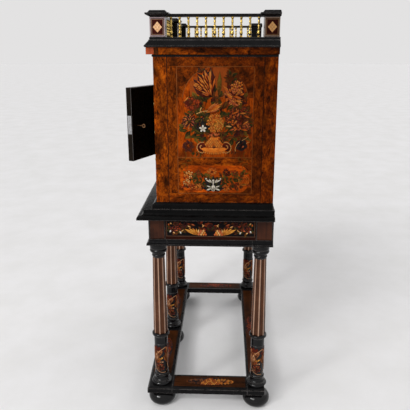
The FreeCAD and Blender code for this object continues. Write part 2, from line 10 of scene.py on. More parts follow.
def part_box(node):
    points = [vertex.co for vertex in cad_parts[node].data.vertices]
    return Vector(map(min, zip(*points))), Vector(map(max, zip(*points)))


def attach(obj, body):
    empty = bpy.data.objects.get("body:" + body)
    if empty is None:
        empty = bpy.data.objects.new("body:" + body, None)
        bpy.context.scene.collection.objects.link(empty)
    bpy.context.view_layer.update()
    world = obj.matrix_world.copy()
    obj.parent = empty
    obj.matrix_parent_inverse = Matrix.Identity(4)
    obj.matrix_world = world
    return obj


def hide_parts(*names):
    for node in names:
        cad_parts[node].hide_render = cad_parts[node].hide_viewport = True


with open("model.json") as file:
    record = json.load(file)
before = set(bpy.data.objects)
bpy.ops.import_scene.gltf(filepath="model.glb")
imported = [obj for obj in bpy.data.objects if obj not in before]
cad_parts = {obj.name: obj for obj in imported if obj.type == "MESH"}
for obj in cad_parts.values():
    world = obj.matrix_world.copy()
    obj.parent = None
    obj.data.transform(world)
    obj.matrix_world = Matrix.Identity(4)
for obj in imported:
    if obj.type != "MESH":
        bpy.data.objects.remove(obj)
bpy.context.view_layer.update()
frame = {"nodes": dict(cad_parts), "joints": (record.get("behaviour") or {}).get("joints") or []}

nodes = frame["nodes"]

# Sizes in metres, except for veneers and cuts of marquetry, which are in millimetres on their panel
mm = 0.001
photo_pixels = 410
sensor_width = 36
focal_pixels = 512.5
camera_place = (2.5532, 0.0378, 1.5843)
camera_forward = Vector((-0.95598, -0.03673, -0.29112))
floor_radius = 60

veneer = 0.6
string_width = 2.2
string_rise = 0.9
above_veneer = 0.95
cut_depth = 1.1
eased_share = 0.4
sides = (("right", 1), ("left", -1))


# Node helpers

def fill(tree, target, value):
    """Links an output to a socket, or sets a plain value on it."""
    if isinstance(value, bpy.types.NodeSocket):
        tree.links.new(value, target)
    else:
        target.default_value = value


def noise(tree, place, scale, detail=4.0, roughness=0.55, distortion=0.0):
    made = tree.nodes.new("ShaderNodeTexNoise")
    for name, value in (("Vector", place), ("Scale", scale), ("Detail", detail),
                        ("Roughness", roughness), ("Distortion", distortion)):
        fill(tree, made.inputs[name], value)
    return made.outputs["Fac"]


def spread(tree, value, low, high, to_low=0.0, to_high=1.0):
    """Maps a value from one range to another, held at the ends."""
    made = tree.nodes.new("ShaderNodeMapRange")
    for name, number in (("Value", value), ("From Min", low), ("From Max", high),
                         ("To Min", to_low), ("To Max", to_high)):
        fill(tree, made.inputs[name], number)
    return made.outputs["Result"]


def sums(tree, operation, first, second=0.0):
    made = tree.nodes.new("ShaderNodeMath")
    made.operation = operation
    fill(tree, made.inputs[0], first)
    fill(tree, made.inputs[1], second)
    return made.outputs[0]


def vectors(tree, operation, first, second):
    made = tree.nodes.new("ShaderNodeVectorMath")
    made.operation = operation
    fill(tree, made.inputs[0], first)
    fill(tree, made.inputs[1], second)
    return made.outputs["Value" if operation == "DOT_PRODUCT" else "Vector"]


def mixed(tree, factor, first, second, mode="MIX"):
    made = tree.nodes.new("ShaderNodeMix")
    made.data_type = "RGBA"
    made.blend_type = mode
    colour_a, colour_b = [s for s in made.inputs if s.type == "RGBA"]
    fill(tree, made.inputs["Factor"], factor)
    fill(tree, colour_a, first)
    fill(tree, colour_b, second)
    return next(s for s in made.outputs if s.type == "RGBA")


def stain(red, green, blue):
    """A colour picked on the usual 0 to 255 scale, as linear light."""
    def linear(level):
        share = level / 255
        return share / 12.92 if share <= 0.04045 else ((share + 0.055) / 1.055) ** 2.4
    return (linear(red), linear(green), linear(blue), 1.0)


def new_group(name, inputs, outputs):
    group = bpy.data.node_groups.new(name, "ShaderNodeTree")
    for label, kind, value in inputs:
        socket = group.interface.new_socket(label, in_out="INPUT", socket_type=kind)
        if value is not None:
            socket.default_value = value
    for label in outputs:
        group.interface.new_socket(label, in_out="OUTPUT", socket_type="NodeSocketFloat")
    entry = group.nodes.new("NodeGroupInput").outputs
    leave = group.nodes.new("NodeGroupOutput").inputs
    return group, entry, leave


def use_group(tree, group, **values):
    made = tree.nodes.new("ShaderNodeGroup")
    made.node_tree = group
    for label, value in values.items():
        fill(tree, made.inputs[label], value)
    return made.outputs


# Effects that several finishes share

def burr_figure_group():
    """The swirling cloudy figure of burr wood, with its small dark eyes."""
    group, entry, leave = new_group(
        "burr_figure",
        [("Place", "NodeSocketVector", None), ("Scale", "NodeSocketFloat", 30.0),
         ("Swirl", "NodeSocketFloat", 0.03)],
        ["Figure", "Eyes"])
    drift = group.nodes.new("ShaderNodeTexNoise")
    fill(group, drift.inputs["Vector"], entry["Place"])
    fill(group, drift.inputs["Scale"], sums(group, "MULTIPLY", entry["Scale"], 0.6))
    drift.inputs["Detail"].default_value = 3
    centred = vectors(group, "SUBTRACT", drift.outputs["Color"], (0.5, 0.5, 0.5))
    scaled = group.nodes.new("ShaderNodeVectorMath")
    scaled.operation = "SCALE"
    fill(group, scaled.inputs[0], centred)
    fill(group, scaled.inputs["Scale"], entry["Swirl"])
    swirled = vectors(group, "ADD", entry["Place"], scaled.outputs["Vector"])
    clouds = noise(group, swirled, entry["Scale"], 7.0, 0.66, 0.5)
    fill(group, leave["Figure"], spread(group, clouds, 0.32, 0.68))
    dots = group.nodes.new("ShaderNodeTexVoronoi")
    fill(group, dots.inputs["Vector"], swirled)
    fill(group, dots.inputs["Scale"], sums(group, "MULTIPLY", entry["Scale"], 5.0))
    near = spread(group, dots.outputs["Distance"], 0.06, 0.3, 1.0, 0.0)
    patch_scale = sums(group, "MULTIPLY", entry["Scale"], 0.9)
    patches = spread(group, noise(group, entry["Place"], patch_scale), 0.5, 0.62)
    fill(group, leave["Eyes"], sums(group, "MULTIPLY", near, patches))
    return group


def straight_grain_group():
    """Long streaks of grain, stretched along one direction."""
    group, entry, leave = new_group(
        "straight_grain",
        [("Place", "NodeSocketVector", None), ("Stretch", "NodeSocketVector", (200.0, 200.0, 8.0))],
        ["Streaks", "Pores"])
    drawn = vectors(group, "MULTIPLY", entry["Place"], entry["Stretch"])
    streaks = noise(group, drawn, 0.45, 5.0, 0.62, 0.35)
    fill(group, leave["Streaks"], spread(group, streaks, 0.3, 0.7))
    pores = noise(group, drawn, 3.2, 2.0, 0.5, 0.1)
    fill(group, leave["Pores"], spread(group, pores, 0.56, 0.7))
    return group


def edge_wear_and_sheen_group():
    """Edges, for wear and for a painted highlight along them: the rounded normal departs from the true one
    there.
    """
    group, entry, leave = new_group(
        "edge_wear_and_sheen",
        [("Place", "NodeSocketVector", None), ("Reach", "NodeSocketFloat", 0.002)],
        ["Wear"])
    rounded = group.nodes.new("ShaderNodeBevel")
    rounded.samples = 4
    fill(group, rounded.inputs["Radius"], entry["Reach"])
    flat = group.nodes.new("ShaderNodeNewGeometry")
    likeness = vectors(group, "DOT_PRODUCT", rounded.outputs["Normal"], flat.outputs["Normal"])
    bend = spread(group, likeness, 0.7, 0.985, 1.0, 0.0)
    patchy = spread(group, noise(group, entry["Place"], 40.0, 4.0, 0.6), 0.25, 0.7)
    fill(group, leave["Wear"], sums(group, "MULTIPLY", bend, patchy))
    return group


def settled_dust_group():
    """A thin film of dust on what faces up."""
    group, entry, leave = new_group(
        "settled_dust", [("Place", "NodeSocketVector", None)], ["Dust"])
    facing = group.nodes.new("ShaderNodeNewGeometry")
    apart = group.nodes.new("ShaderNodeSeparateXYZ")
    fill(group, apart.inputs[0], facing.outputs["Normal"])
    upward = spread(group, apart.outputs["Z"], 0.55, 1.0)
    drift = spread(group, noise(group, entry["Place"], 14.0, 5.0, 0.65), 0.35, 0.75)
    fill(group, leave["Dust"], sums(group, "MULTIPLY", upward, drift))
    return group


def hand_polish_group():
    """Uneven gloss, as rubbed wax leaves it."""
    group, entry, leave = new_group(
        "hand_polish",
        [("Place", "NodeSocketVector", None), ("Glossy", "NodeSocketFloat", 0.2),
         ("Dull", "NodeSocketFloat", 0.4)],
        ["Roughness"])
    cloud = noise(group, entry["Place"], 22.0, 5.0, 0.6)
    fill(group, leave["Roughness"], spread(group, cloud, 0.3, 0.7, entry["Glossy"], entry["Dull"]))
    return group


def painted_falloff_shade_group():
    """How much painted shade falls on the case: none at its front, full at its back, for light that falls
    off from front to back; none below the case.
    """
    unshaded_to, full_shade_from = -0.2, 0.24
    stand_to, case_from = 0.94, 0.96
    group, entry, leave = new_group(
        "painted_falloff_shade", [("Place", "NodeSocketVector", None)], ["Kept"])
    apart = group.nodes.new("ShaderNodeSeparateXYZ")
    fill(group, apart.inputs[0], entry["Place"])
    backward = spread(group, apart.outputs["Y"], unshaded_to, full_shade_from)
    on_case = spread(group, apart.outputs["Z"], stand_to, case_from)
    fill(group, leave["Kept"], sums(group, "MULTIPLY", backward, on_case))
    return group


burr_figure = burr_figure_group()
straight_grain = straight_grain_group()
edge_wear_and_sheen = edge_wear_and_sheen_group()
settled_dust = settled_dust_group()
hand_polish = hand_polish_group()
painted_falloff_shade = painted_falloff_shade_group()


# Finishes

veneer_gleam = 0.03
metal_gleam = 0.5
# the colour that full painted shade multiplies a veneer by
painted_shade_tint = (0.47, 0.41, 0.27, 1.0)


def new_finish(name):
    finish = bpy.data.materials.new(name)
    finish.use_nodes = True
    tree = finish.node_tree
    shader = tree.nodes["Principled BSDF"].inputs
    place = tree.nodes.new("ShaderNodeTexCoord").outputs["Object"]
    return finish, tree, shader, place


def raise_grain(tree, shader, height, strength, distance):
    bump = tree.nodes.new("ShaderNodeBump")
    bump.inputs["Strength"].default_value = strength
    bump.inputs["Distance"].default_value = distance
    fill(tree, bump.inputs["Height"], height)
    fill(tree, shader["Normal"], bump.outputs["Normal"])


def paint_falloff_shade(tree, place, ground):
    """Deepens a colour with painted shade towards the back of the case."""
    shade_amount = use_group(tree, painted_falloff_shade, Place=place)["Kept"]
    return mixed(tree, shade_amount, ground, painted_shade_tint, "MULTIPLY")


def wear_and_sheen_edges(tree, place, ground, reach, share, colour):
    """Shows another colour along the edges, for wear and for a painted highlight on the arrises."""
    wear_and_sheen = use_group(tree, edge_wear_and_sheen, Place=place, Reach=reach)["Wear"]
    return mixed(tree, sums(tree, "MULTIPLY", wear_and_sheen, share), ground, colour)


def polish(tree, shader, place, gloss, gleam):
    """Sets an uneven gloss, and how strongly the surface mirrors the room."""
    sheen = use_group(tree, hand_polish, Place=place, Glossy=gloss[0], Dull=gloss[1])
    fill(tree, shader["Roughness"], sheen["Roughness"])
    shader["Specular IOR Level"].default_value = gleam
    return sheen["Roughness"]


def cut_value(tree, label):
    """A value that each cut of marquetry carries in its mesh."""
    own = tree.nodes.new("ShaderNodeAttribute")
    own.attribute_name = label
    return own.outputs["Fac"]


def burr_finish(name, colours, scale, stretch):
    """Polished burr veneer: broad dark clouds, swirls of a warm middle, and fine flecks."""
    dark, middle, bright = (stain(*colour) for colour in colours)
    finish, tree, shader, place = new_finish(name)
    drawn = vectors(tree, "MULTIPLY", place, stretch)
    figure = use_group(tree, burr_figure, Place=drawn, Scale=scale)
    fine = use_group(tree, burr_figure, Place=drawn, Scale=scale * 3.4, Swirl=0.01)
    clouds = noise(tree, drawn, scale * 0.22, 3.0, 0.6, 0.4)
    ground = mixed(tree, spread(tree, figure["Figure"], 0.05, 0.5), dark, middle)
    # each layer: what places it, between which values, its share at either, and its colour
    for mask, low, high, low_share, high_share, colour in (
            (figure["Figure"], 0.5, 0.95, 0.0, 0.9, bright),
            (fine["Figure"], 0.05, 0.5, 0.8, 0.0, dark),
            (fine["Figure"], 0.65, 1.0, 0.0, 0.55, bright),
            (clouds, 0.46, 0.66, 0.0, 0.8, dark)):
        ground = mixed(tree, spread(tree, mask, low, high, low_share, high_share), ground, colour)
    ground = mixed(tree, sums(tree, "MULTIPLY", figure["Eyes"], 0.8), ground, dark)
    ground = wear_and_sheen_edges(tree, place, ground, reach=0.0015, share=0.35, colour=bright)
    # the ground darkens with painted shade towards the back of the case
    fill(tree, shader["Base Color"], paint_falloff_shade(tree, place, ground))
    polish(tree, shader, place, (0.24, 0.4), veneer_gleam)
    raise_grain(tree, shader, fine["Figure"], strength=0.12, distance=0.0006)
    return finish


def grained_finish(name, colours, stretch, gloss, gleam):
    """Straight-grained veneer or board."""
    dark, middle, bright = (stain(*colour) for colour in colours)
    finish, tree, shader, place = new_finish(name)
    grain = use_group(tree, straight_grain, Place=place, Stretch=stretch)
    clouds = spread(tree, noise(tree, place, 9.0, 4.0, 0.6), 0.35, 0.65)
    ground = mixed(tree, grain["Streaks"], dark, middle)
    ground = mixed(tree, sums(tree, "MULTIPLY", clouds, 0.55), ground, bright)
    ground = mixed(tree, sums(tree, "MULTIPLY", grain["Pores"], 0.55), ground, dark)
    ground = wear_and_sheen_edges(tree, place, ground, reach=0.0015, share=0.3, colour=bright)
    fill(tree, shader["Base Color"], ground)
    polish(tree, shader, place, gloss, gleam)
    raise_grain(tree, shader, grain["Streaks"], strength=0.12, distance=0.0005)
    return finish


def ebonised_finish(name, colours, gloss, gleam):
    """Black-stained polished wood: grey along its edges, for wear and for a painted highlight, and a little
    dust where it lies flat.
    """
    dark, pale = (stain(*colour) for colour in colours)
    # the grey of the edges, for wear and a painted highlight, and the grey of dust
    worn_and_sheen_grey, dust_grey = stain(118, 113, 110), stain(120, 118, 116)
    dust_share, dust_dulls = 0.035, 0.12
    finish, tree, shader, place = new_finish(name)
    grain = use_group(tree, straight_grain, Place=place, Stretch=(60.0, 60.0, 60.0))
    ground = mixed(tree, grain["Streaks"], dark, pale)
    # grey edge lines: partly wear, partly a painted highlight such as the mouldings' arrises catch
    ground = wear_and_sheen_edges(tree, place, ground, reach=0.004, share=0.85, colour=worn_and_sheen_grey)
    dust = use_group(tree, settled_dust, Place=place)["Dust"]
    ground = mixed(tree, sums(tree, "MULTIPLY", dust, dust_share), ground, dust_grey)
    fill(tree, shader["Base Color"], ground)
    rough = polish(tree, shader, place, gloss, gleam)
    fill(tree, shader["Roughness"], sums(tree, "ADD", rough, sums(tree, "MULTIPLY", dust, dust_dulls)))
    raise_grain(tree, shader, grain["Streaks"], strength=0.06, distance=0.0005)
    return finish


def inlay_finish(name, deep, pale):
    """A cut of stained wood, scorched darker towards its foot; each cut has a tone of its own."""
    deep, pale = stain(*deep), stain(*pale)
    deepest_share = 0.38
    finish, tree, shader, place = new_finish(name)
    grain = noise(tree, place, 420.0, 3.0, 0.6)
    cloud = noise(tree, place, 70.0, 3.0, 0.6)
    lit = sums(tree, "ADD", cut_value(tree, "shade"), spread(tree, grain, 0.3, 0.7, -0.28, 0.28))
    lit = sums(tree, "ADD", lit, spread(tree, cloud, 0.3, 0.7, -0.25, 0.25))
    ground = mixed(tree, spread(tree, lit, 0.0, 1.0), deep, pale)
    darkened = mixed(tree, deepest_share, ground, deep)
    ground = mixed(tree, cut_value(tree, "tone"), darkened, ground)
    # the ground darkens with painted shade towards the back of the case
    fill(tree, shader["Base Color"], paint_falloff_shade(tree, place, ground))
    polish(tree, shader, place, (0.26, 0.42), veneer_gleam)
    raise_grain(tree, shader, grain, strength=0.08, distance=0.0003)
    return finish


def metal_finish(name, clean, tarnish, gloss, tarnish_share):
    finish, tree, shader, place = new_finish(name)
    spots = spread(tree, noise(tree, place, 95.0, 6.0, 0.65), 0.42, 0.72)
    ground = mixed(tree, sums(tree, "MULTIPLY", spots, tarnish_share), stain(*clean), stain(*tarnish))
    fill(tree, shader["Base Color"], ground)
    shader["Metallic"].default_value = 1.0
    polish(tree, shader, place, gloss, metal_gleam)
    raise_grain(tree, shader, spots, strength=0.08, distance=0.0003)
    return finish


# Burr: dark, middle and bright colour, scale of the figure, and how it is drawn out
walnut_burr = ((28, 9, 1), (125, 51, 4), (188, 92, 12))
even = (1.0, 1.0, 1.0)
upright = (1.0, 1.0, 0.55)
burr_veneers = {
    "burr_stile": (walnut_burr, 52.0, upright),
    "burr_rail": (walnut_burr, 52.0, (1.0, 0.55, 1.0)),
    "burr_front": (walnut_burr, 52.0, (0.55, 1.0, 1.0)),
    "burr_band": (((32, 11, 1), (104, 42, 3), (150, 70, 8)), 64.0, upright),
    "burr_ground": (((34, 13, 2), (106, 42, 4), (144, 66, 8)), 70.0, even),
    "burr_dark": (((22, 10, 4), (66, 32, 10), (88, 44, 14)), 64.0, even),
    "arch_field": (((72, 26, 2), (150, 59, 4), (184, 84, 10)), 60.0, (1.0, 1.0, 0.3)),
    "panel_field": (((100, 36, 3), (188, 74, 7), (218, 102, 15)), 60.0, (1.0, 0.3, 1.0)),
}

# Straight grain: dark, middle and bright colour, how the grain is drawn out, its gloss and its gleam
rosewood = ((9, 5, 3), (40, 18, 8), (60, 28, 12))
stretcher_wood = ((13, 6, 3), (52, 26, 10), (78, 41, 17))
along_front, along_end, along_height = (8.0, 150.0, 150.0), (150.0, 8.0, 150.0), (170.0, 170.0, 7.0)
waxed, polished, bare = (0.28, 0.45), (0.16, 0.3), (0.5, 0.68)
grained_woods = {
    "frieze_end": (((120, 44, 20), (176, 78, 40), (190, 96, 56)), (150.0, 150.0, 20.0), waxed, 0.12),
    "stretcher_cross": (stretcher_wood, along_end, waxed, 0.02),
    "stretcher_long": (stretcher_wood, along_front, waxed, 0.02),
    "rosewood_upright": (((26, 13, 8), (62, 30, 17), (80, 42, 24)), along_height, waxed, 0.12),
    "rosewood_cross": (rosewood, along_end, waxed, 0.05),
    "rosewood_long": (rosewood, along_front, waxed, 0.05),
    "shaft_walnut": (((30, 14, 7), (74, 40, 20), (98, 57, 31)), along_height, polished, 0.16),
    "fillet": (((126, 92, 74), (166, 130, 107), (188, 154, 130)), (200.0, 200.0, 12.0), polished, 0.25),
    "carcass": (((112, 78, 46), (160, 118, 76), (176, 134, 90)), (7.0, 120.0, 120.0), bare, 0.1),
    "carcass_upright": (((84, 54, 30), (128, 86, 50), (142, 98, 60)), (120.0, 120.0, 6.0), bare, 0.1),
}

# Black wood: dark and pale colour of its grain, its gloss and its gleam
black = ((6, 6, 7), (15, 14, 15))
ebonised_woods = {
    "ebonised": (black, (0.18, 0.3), 0.1),
    "ebonised_gloss": (black, (0.035, 0.08), 0.27),
    "ebonised_turned": (black, (0.1, 0.2), 0.22),
    # a browner, paler black for the door: its own brown-black, lifted further as a painted reflection on its
    # shaded inside
    "ebonised_door": (((14, 10, 7), (28, 21, 14)), (0.2, 0.34), 0.05),
    # a darker black, as painted shade on the stand's top and base moulding
    "ebonised_deep": (((4, 4, 4), (11, 10, 10)), (0.16, 0.28), 0.06),
}

# Metal: its colour clean and tarnished, its gloss, and how much of it is tarnished
metals = {
    "gilt_brass": ((226, 190, 104), (132, 98, 44), (0.2, 0.36), 0.75),
    "gallery_brass": ((220, 186, 100), (80, 58, 22), (0.14, 0.26), 0.9),
    "key_bronze": ((156, 116, 82), (74, 50, 34), (0.25, 0.4), 0.8),
    "steel": ((186, 186, 188), (110, 106, 102), (0.25, 0.45), 0.8),
}

# Woods of the marquetry: colour at the scorched foot of a cut, and at its tip
inlay_woods = {
    "cream": ((164, 104, 50), (220, 172, 110)),
    "straw": ((146, 70, 20), (216, 136, 58)),
    "orange": ((126, 50, 14), (210, 108, 36)),
    "russet": ((78, 26, 12), (158, 62, 26)),
    "plum": ((36, 12, 8), (86, 30, 18)),
    "brown": ((44, 20, 9), (100, 52, 22)),
    "green": ((26, 24, 10), (64, 60, 24)),
    "olive": ((58, 42, 14), (116, 88, 30)),
    "ink": ((14, 12, 13), (38, 34, 36)),
    "bone": ((160, 150, 136), (224, 218, 208)),
    "gold": ((146, 82, 24), (212, 150, 64)),
    "rose": ((132, 52, 26), (196, 108, 62)),
    "string": ((118, 66, 32), (180, 122, 76)),
    "peach": ((196, 142, 96), (236, 190, 146)),
    "marigold": ((184, 92, 26), (224, 132, 48)),
    "tan": ((132, 86, 54), (206, 156, 116)),
    "bark": ((52, 20, 5), (88, 38, 11)),
    "umber": ((74, 40, 22), (152, 94, 54)),
    "pearl": ((124, 106, 108), (176, 156, 158)),
    "faded": ((96, 66, 50), (150, 112, 90)),
    "maroon": ((28, 8, 6), (66, 20, 14)),
    "amber": ((112, 46, 12), (156, 76, 28)),
    # a pale grey for lines of painted highlight
    "sheen": ((120, 120, 120), (168, 166, 164)),
}

finishes = {}
for woods, make_finish in ((burr_veneers, burr_finish), (grained_woods, grained_finish),
                           (ebonised_woods, ebonised_finish), (metals, metal_finish)):
    for name, values in woods.items():
        finishes[name] = make_finish(name, *values)
for wood, (deep, pale) in inlay_woods.items():
    finishes[wood] = inlay_finish(f"inlay_{wood}", deep, pale)


# Modelling helpers

def pick_all():
    bpy.ops.mesh.select_all(action="SELECT")


def pick_points(piece, wanted):
    """Selects the points of a piece in edit mode whose place passes the test."""
    mesh = bmesh.from_edit_mesh(piece.data)
    for point in mesh.verts:
        point.select_set(wanted(point.co))
    mesh.select_flush_mode()
    bmesh.update_edit_mesh(piece.data)


def shift(across, along, up):
    bpy.ops.transform.translate(value=(across, along, up))


def widen(across, along, up, about=(0, 0, 0)):
    bpy.ops.transform.resize(value=(across, along, up), center_override=about)


def turn_flat(angle, about=(0, 0, 0)):
    bpy.ops.transform.rotate(value=angle, orient_axis="Z", center_override=about)


def draw_out(across, along, up):
    bpy.ops.mesh.extrude_region_move(TRANSFORM_OT_translate={"value": (across, along, up)})


def spin_round(steps, angle):
    bpy.ops.mesh.spin(steps=steps, angle=angle, center=(0, 0, 0), axis=(0, 0, 1))


def start_shape(name, add, **sizes):
    """Adds a primitive and opens it for shaping, with all of it selected."""
    bpy.ops.object.select_all(action="DESELECT")
    add(**sizes)
    piece = bpy.context.object
    piece.name = name
    bpy.ops.object.mode_set(mode="EDIT")
    bpy.ops.mesh.select_mode(type="VERT")
    pick_all()
    return piece


def start_plane(name, size=1):
    return start_shape(name, bpy.ops.mesh.primitive_plane_add, size=size)


def start_disc(name, points, radius):
    return start_shape(name, bpy.ops.mesh.primitive_circle_add, vertices=points, radius=radius,
                       fill_type="NGON")


def close_shape(piece, finish=None):
    """Closes the seams, turns all faces outwards and leaves edit mode."""
    pick_all()
    bpy.ops.mesh.remove_doubles(threshold=1e-6)
    bpy.ops.mesh.normals_make_consistent(inside=False)
    bpy.ops.object.mode_set(mode="OBJECT")
    if finish:
        piece.data.materials.append(finishes[finish])
    return piece


def turned(name, outline, steps=48):
    """A turned piece on the z axis: its outline, as radius and height, is drawn out and spun round."""
    piece = start_plane(name, mm)
    bpy.ops.mesh.merge(type="CENTER")
    radius, height = outline[0]
    shift(radius, 0, height)
    for next_radius, next_height in outline[1:]:
        draw_out(next_radius - radius, 0, next_height - height)
        radius, height = next_radius, next_height
    pick_all()
    spin_round(steps, math.tau)
    close_shape(piece)
    bpy.ops.object.shade_smooth_by_angle(angle=math.radians(35))
    return piece


def curve_points(start, middle, end, count=7):
    """Points on a smooth bow from start to end that passes through middle, without the start."""
    points = []
    for step in range(1, count + 1):
        t = step / count
        weights = ((1 - t) * (1 - 2 * t), 4 * t * (1 - t), t * (2 * t - 1))
        weighted = list(zip(weights, (start, middle, end)))
        points.append(tuple(sum(weight * place[axis] for weight, place in weighted) for axis in (0, 1)))
    return points


def finish_piece(piece, finish, body):
    if finish:
        piece.data.materials.clear()
        piece.data.materials.append(finishes[finish])
    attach(piece, body)
    return piece


def copy_at(model, name, move=(0, 0, 0)):
    """A copy of a modelled piece with a mesh of its own, its place in the mesh."""
    mesh = model.data.copy()
    mesh.transform(Matrix.Translation(move))
    copied = bpy.data.objects.new(name, mesh)
    bpy.context.scene.collection.objects.link(copied)
    return copied


def drop(piece):
    bpy.data.objects.remove(piece)


def face_at(origin, right, up):
    """The frame of a flat face: millimetres to the right, up and out of it, as a matrix."""
    right, up = Vector(right), Vector(up)
    out = right.cross(up)
    turn = Matrix((right, up, out)).transposed().to_4x4()
    return Matrix.Translation(origin) @ turn @ Matrix.Diagonal((mm, mm, mm, 1))


# Shapes that marquetry is cut from: one long, one wide and one thick, foot at the origin, tip along +y

def keep_shade(blank, even_shade=None):
    """Writes how far each point lies from the foot, for the scorched shading, and keeps the mesh alone."""
    mesh = blank.data
    shade = mesh.attributes.new("shade", "FLOAT", "POINT")
    tone = mesh.attributes.new("tone", "FLOAT", "POINT")
    for point in mesh.vertices:
        shade.data[point.index].value = even_shade or min(max(point.co.y, 0), 1)
        tone.data[point.index].value = 1
    drop(blank)
    return mesh


def cut_blank(points, narrowed=(), shaping=None, even_shade=None):
    """A disc of few points, shaped and narrowed, then raised to a slice with a low peak."""
    blank = start_disc("blank", points, 0.5)
    shift(0, 0.5, 0)
    if shaping:
        shaping(blank)
    for low, high, width in narrowed:
        pick_points(blank, lambda place: low <= place.y <= high)
        widen(width, 1, 1, (0, 0.5, 0))
    pick_all()
    draw_out(0, 0, 1)
    pick_points(blank, lambda place: place.z > 0.5)
    bpy.ops.mesh.poke()
    close_shape(blank)
    return keep_shade(blank, even_shade)


def tooth_edge(blank):
    """Draws in every other point of the outline, as of a toothed leaf."""
    mesh = bmesh.from_edit_mesh(blank.data)
    mesh.verts.ensure_lookup_table()
    for point in mesh.verts:
        point.select_set(point.index % 2 == 1)
    mesh.select_flush_mode()
    bmesh.update_edit_mesh(blank.data)
    widen(0.6, 0.92, 1, (0, 0.45, 0))


def square_off(blank):
    """Turns four points square, as of a plain slip."""
    turn_flat(math.radians(45), (0, 0.5, 0))
    widen(math.sqrt(2), math.sqrt(2), 1, (0, 0.5, 0))


def cut_hook():
    """A scroll: a band that curls round most of a turn and narrows towards its end."""
    steps, even_steps, sweep, narrowing = 14, 7, math.radians(290), 0.05
    hook = start_plane("hook")
    widen(0.2, 0.05, 1)
    shift(0.4, 0, 0)
    pick_points(hook, lambda place: place.y > 0)
    bpy.ops.mesh.delete(type="VERT")
    pick_all()
    spin_round(steps, -sweep)
    for step in range(even_steps + 1, steps + 1):
        turn = sweep * step / steps
        reach = Vector((math.cos(turn), math.sin(turn)))
        pick_points(hook, lambda place: (place.xy.normalized() - reach).length < 0.05)
        inward = 1 - narrowing * (step - even_steps)
        widen(inward, inward, 1)
    pick_all()
    draw_out(0, 0, 1)
    close_shape(hook)
    return keep_shade(hook)


# Each blank: the points of its outline, and where it is narrowed: from, to, and to which width
blanks = {
    "petal": cut_blank(10, ((-0.01, 0.1, 0.3), (0.1, 0.3, 0.62), (0.3, 0.45, 0.85))),
    "blade": cut_blank(10, ((-0.01, 0.12, 0.5), (0.68, 0.9, 0.72), (0.9, 1.01, 0.3))),
    "button": cut_blank(10),
    "lobed": cut_blank(14, ((0.75, 1.01, 0.55), (-0.01, 0.12, 0.5)), tooth_edge),
    "slip": cut_blank(4, (), square_off, 0.7),
    "lozenge": cut_blank(4, even_shade=0.7),
    "hook": cut_hook(),
}


def away(across, up, turn, wide, tall=None):
    """The place that lies off another one, in a direction turned clockwise from up."""
    aim = math.radians(turn)
    return across + wide * math.sin(aim), up + (wide if tall is None else tall) * math.cos(aim)


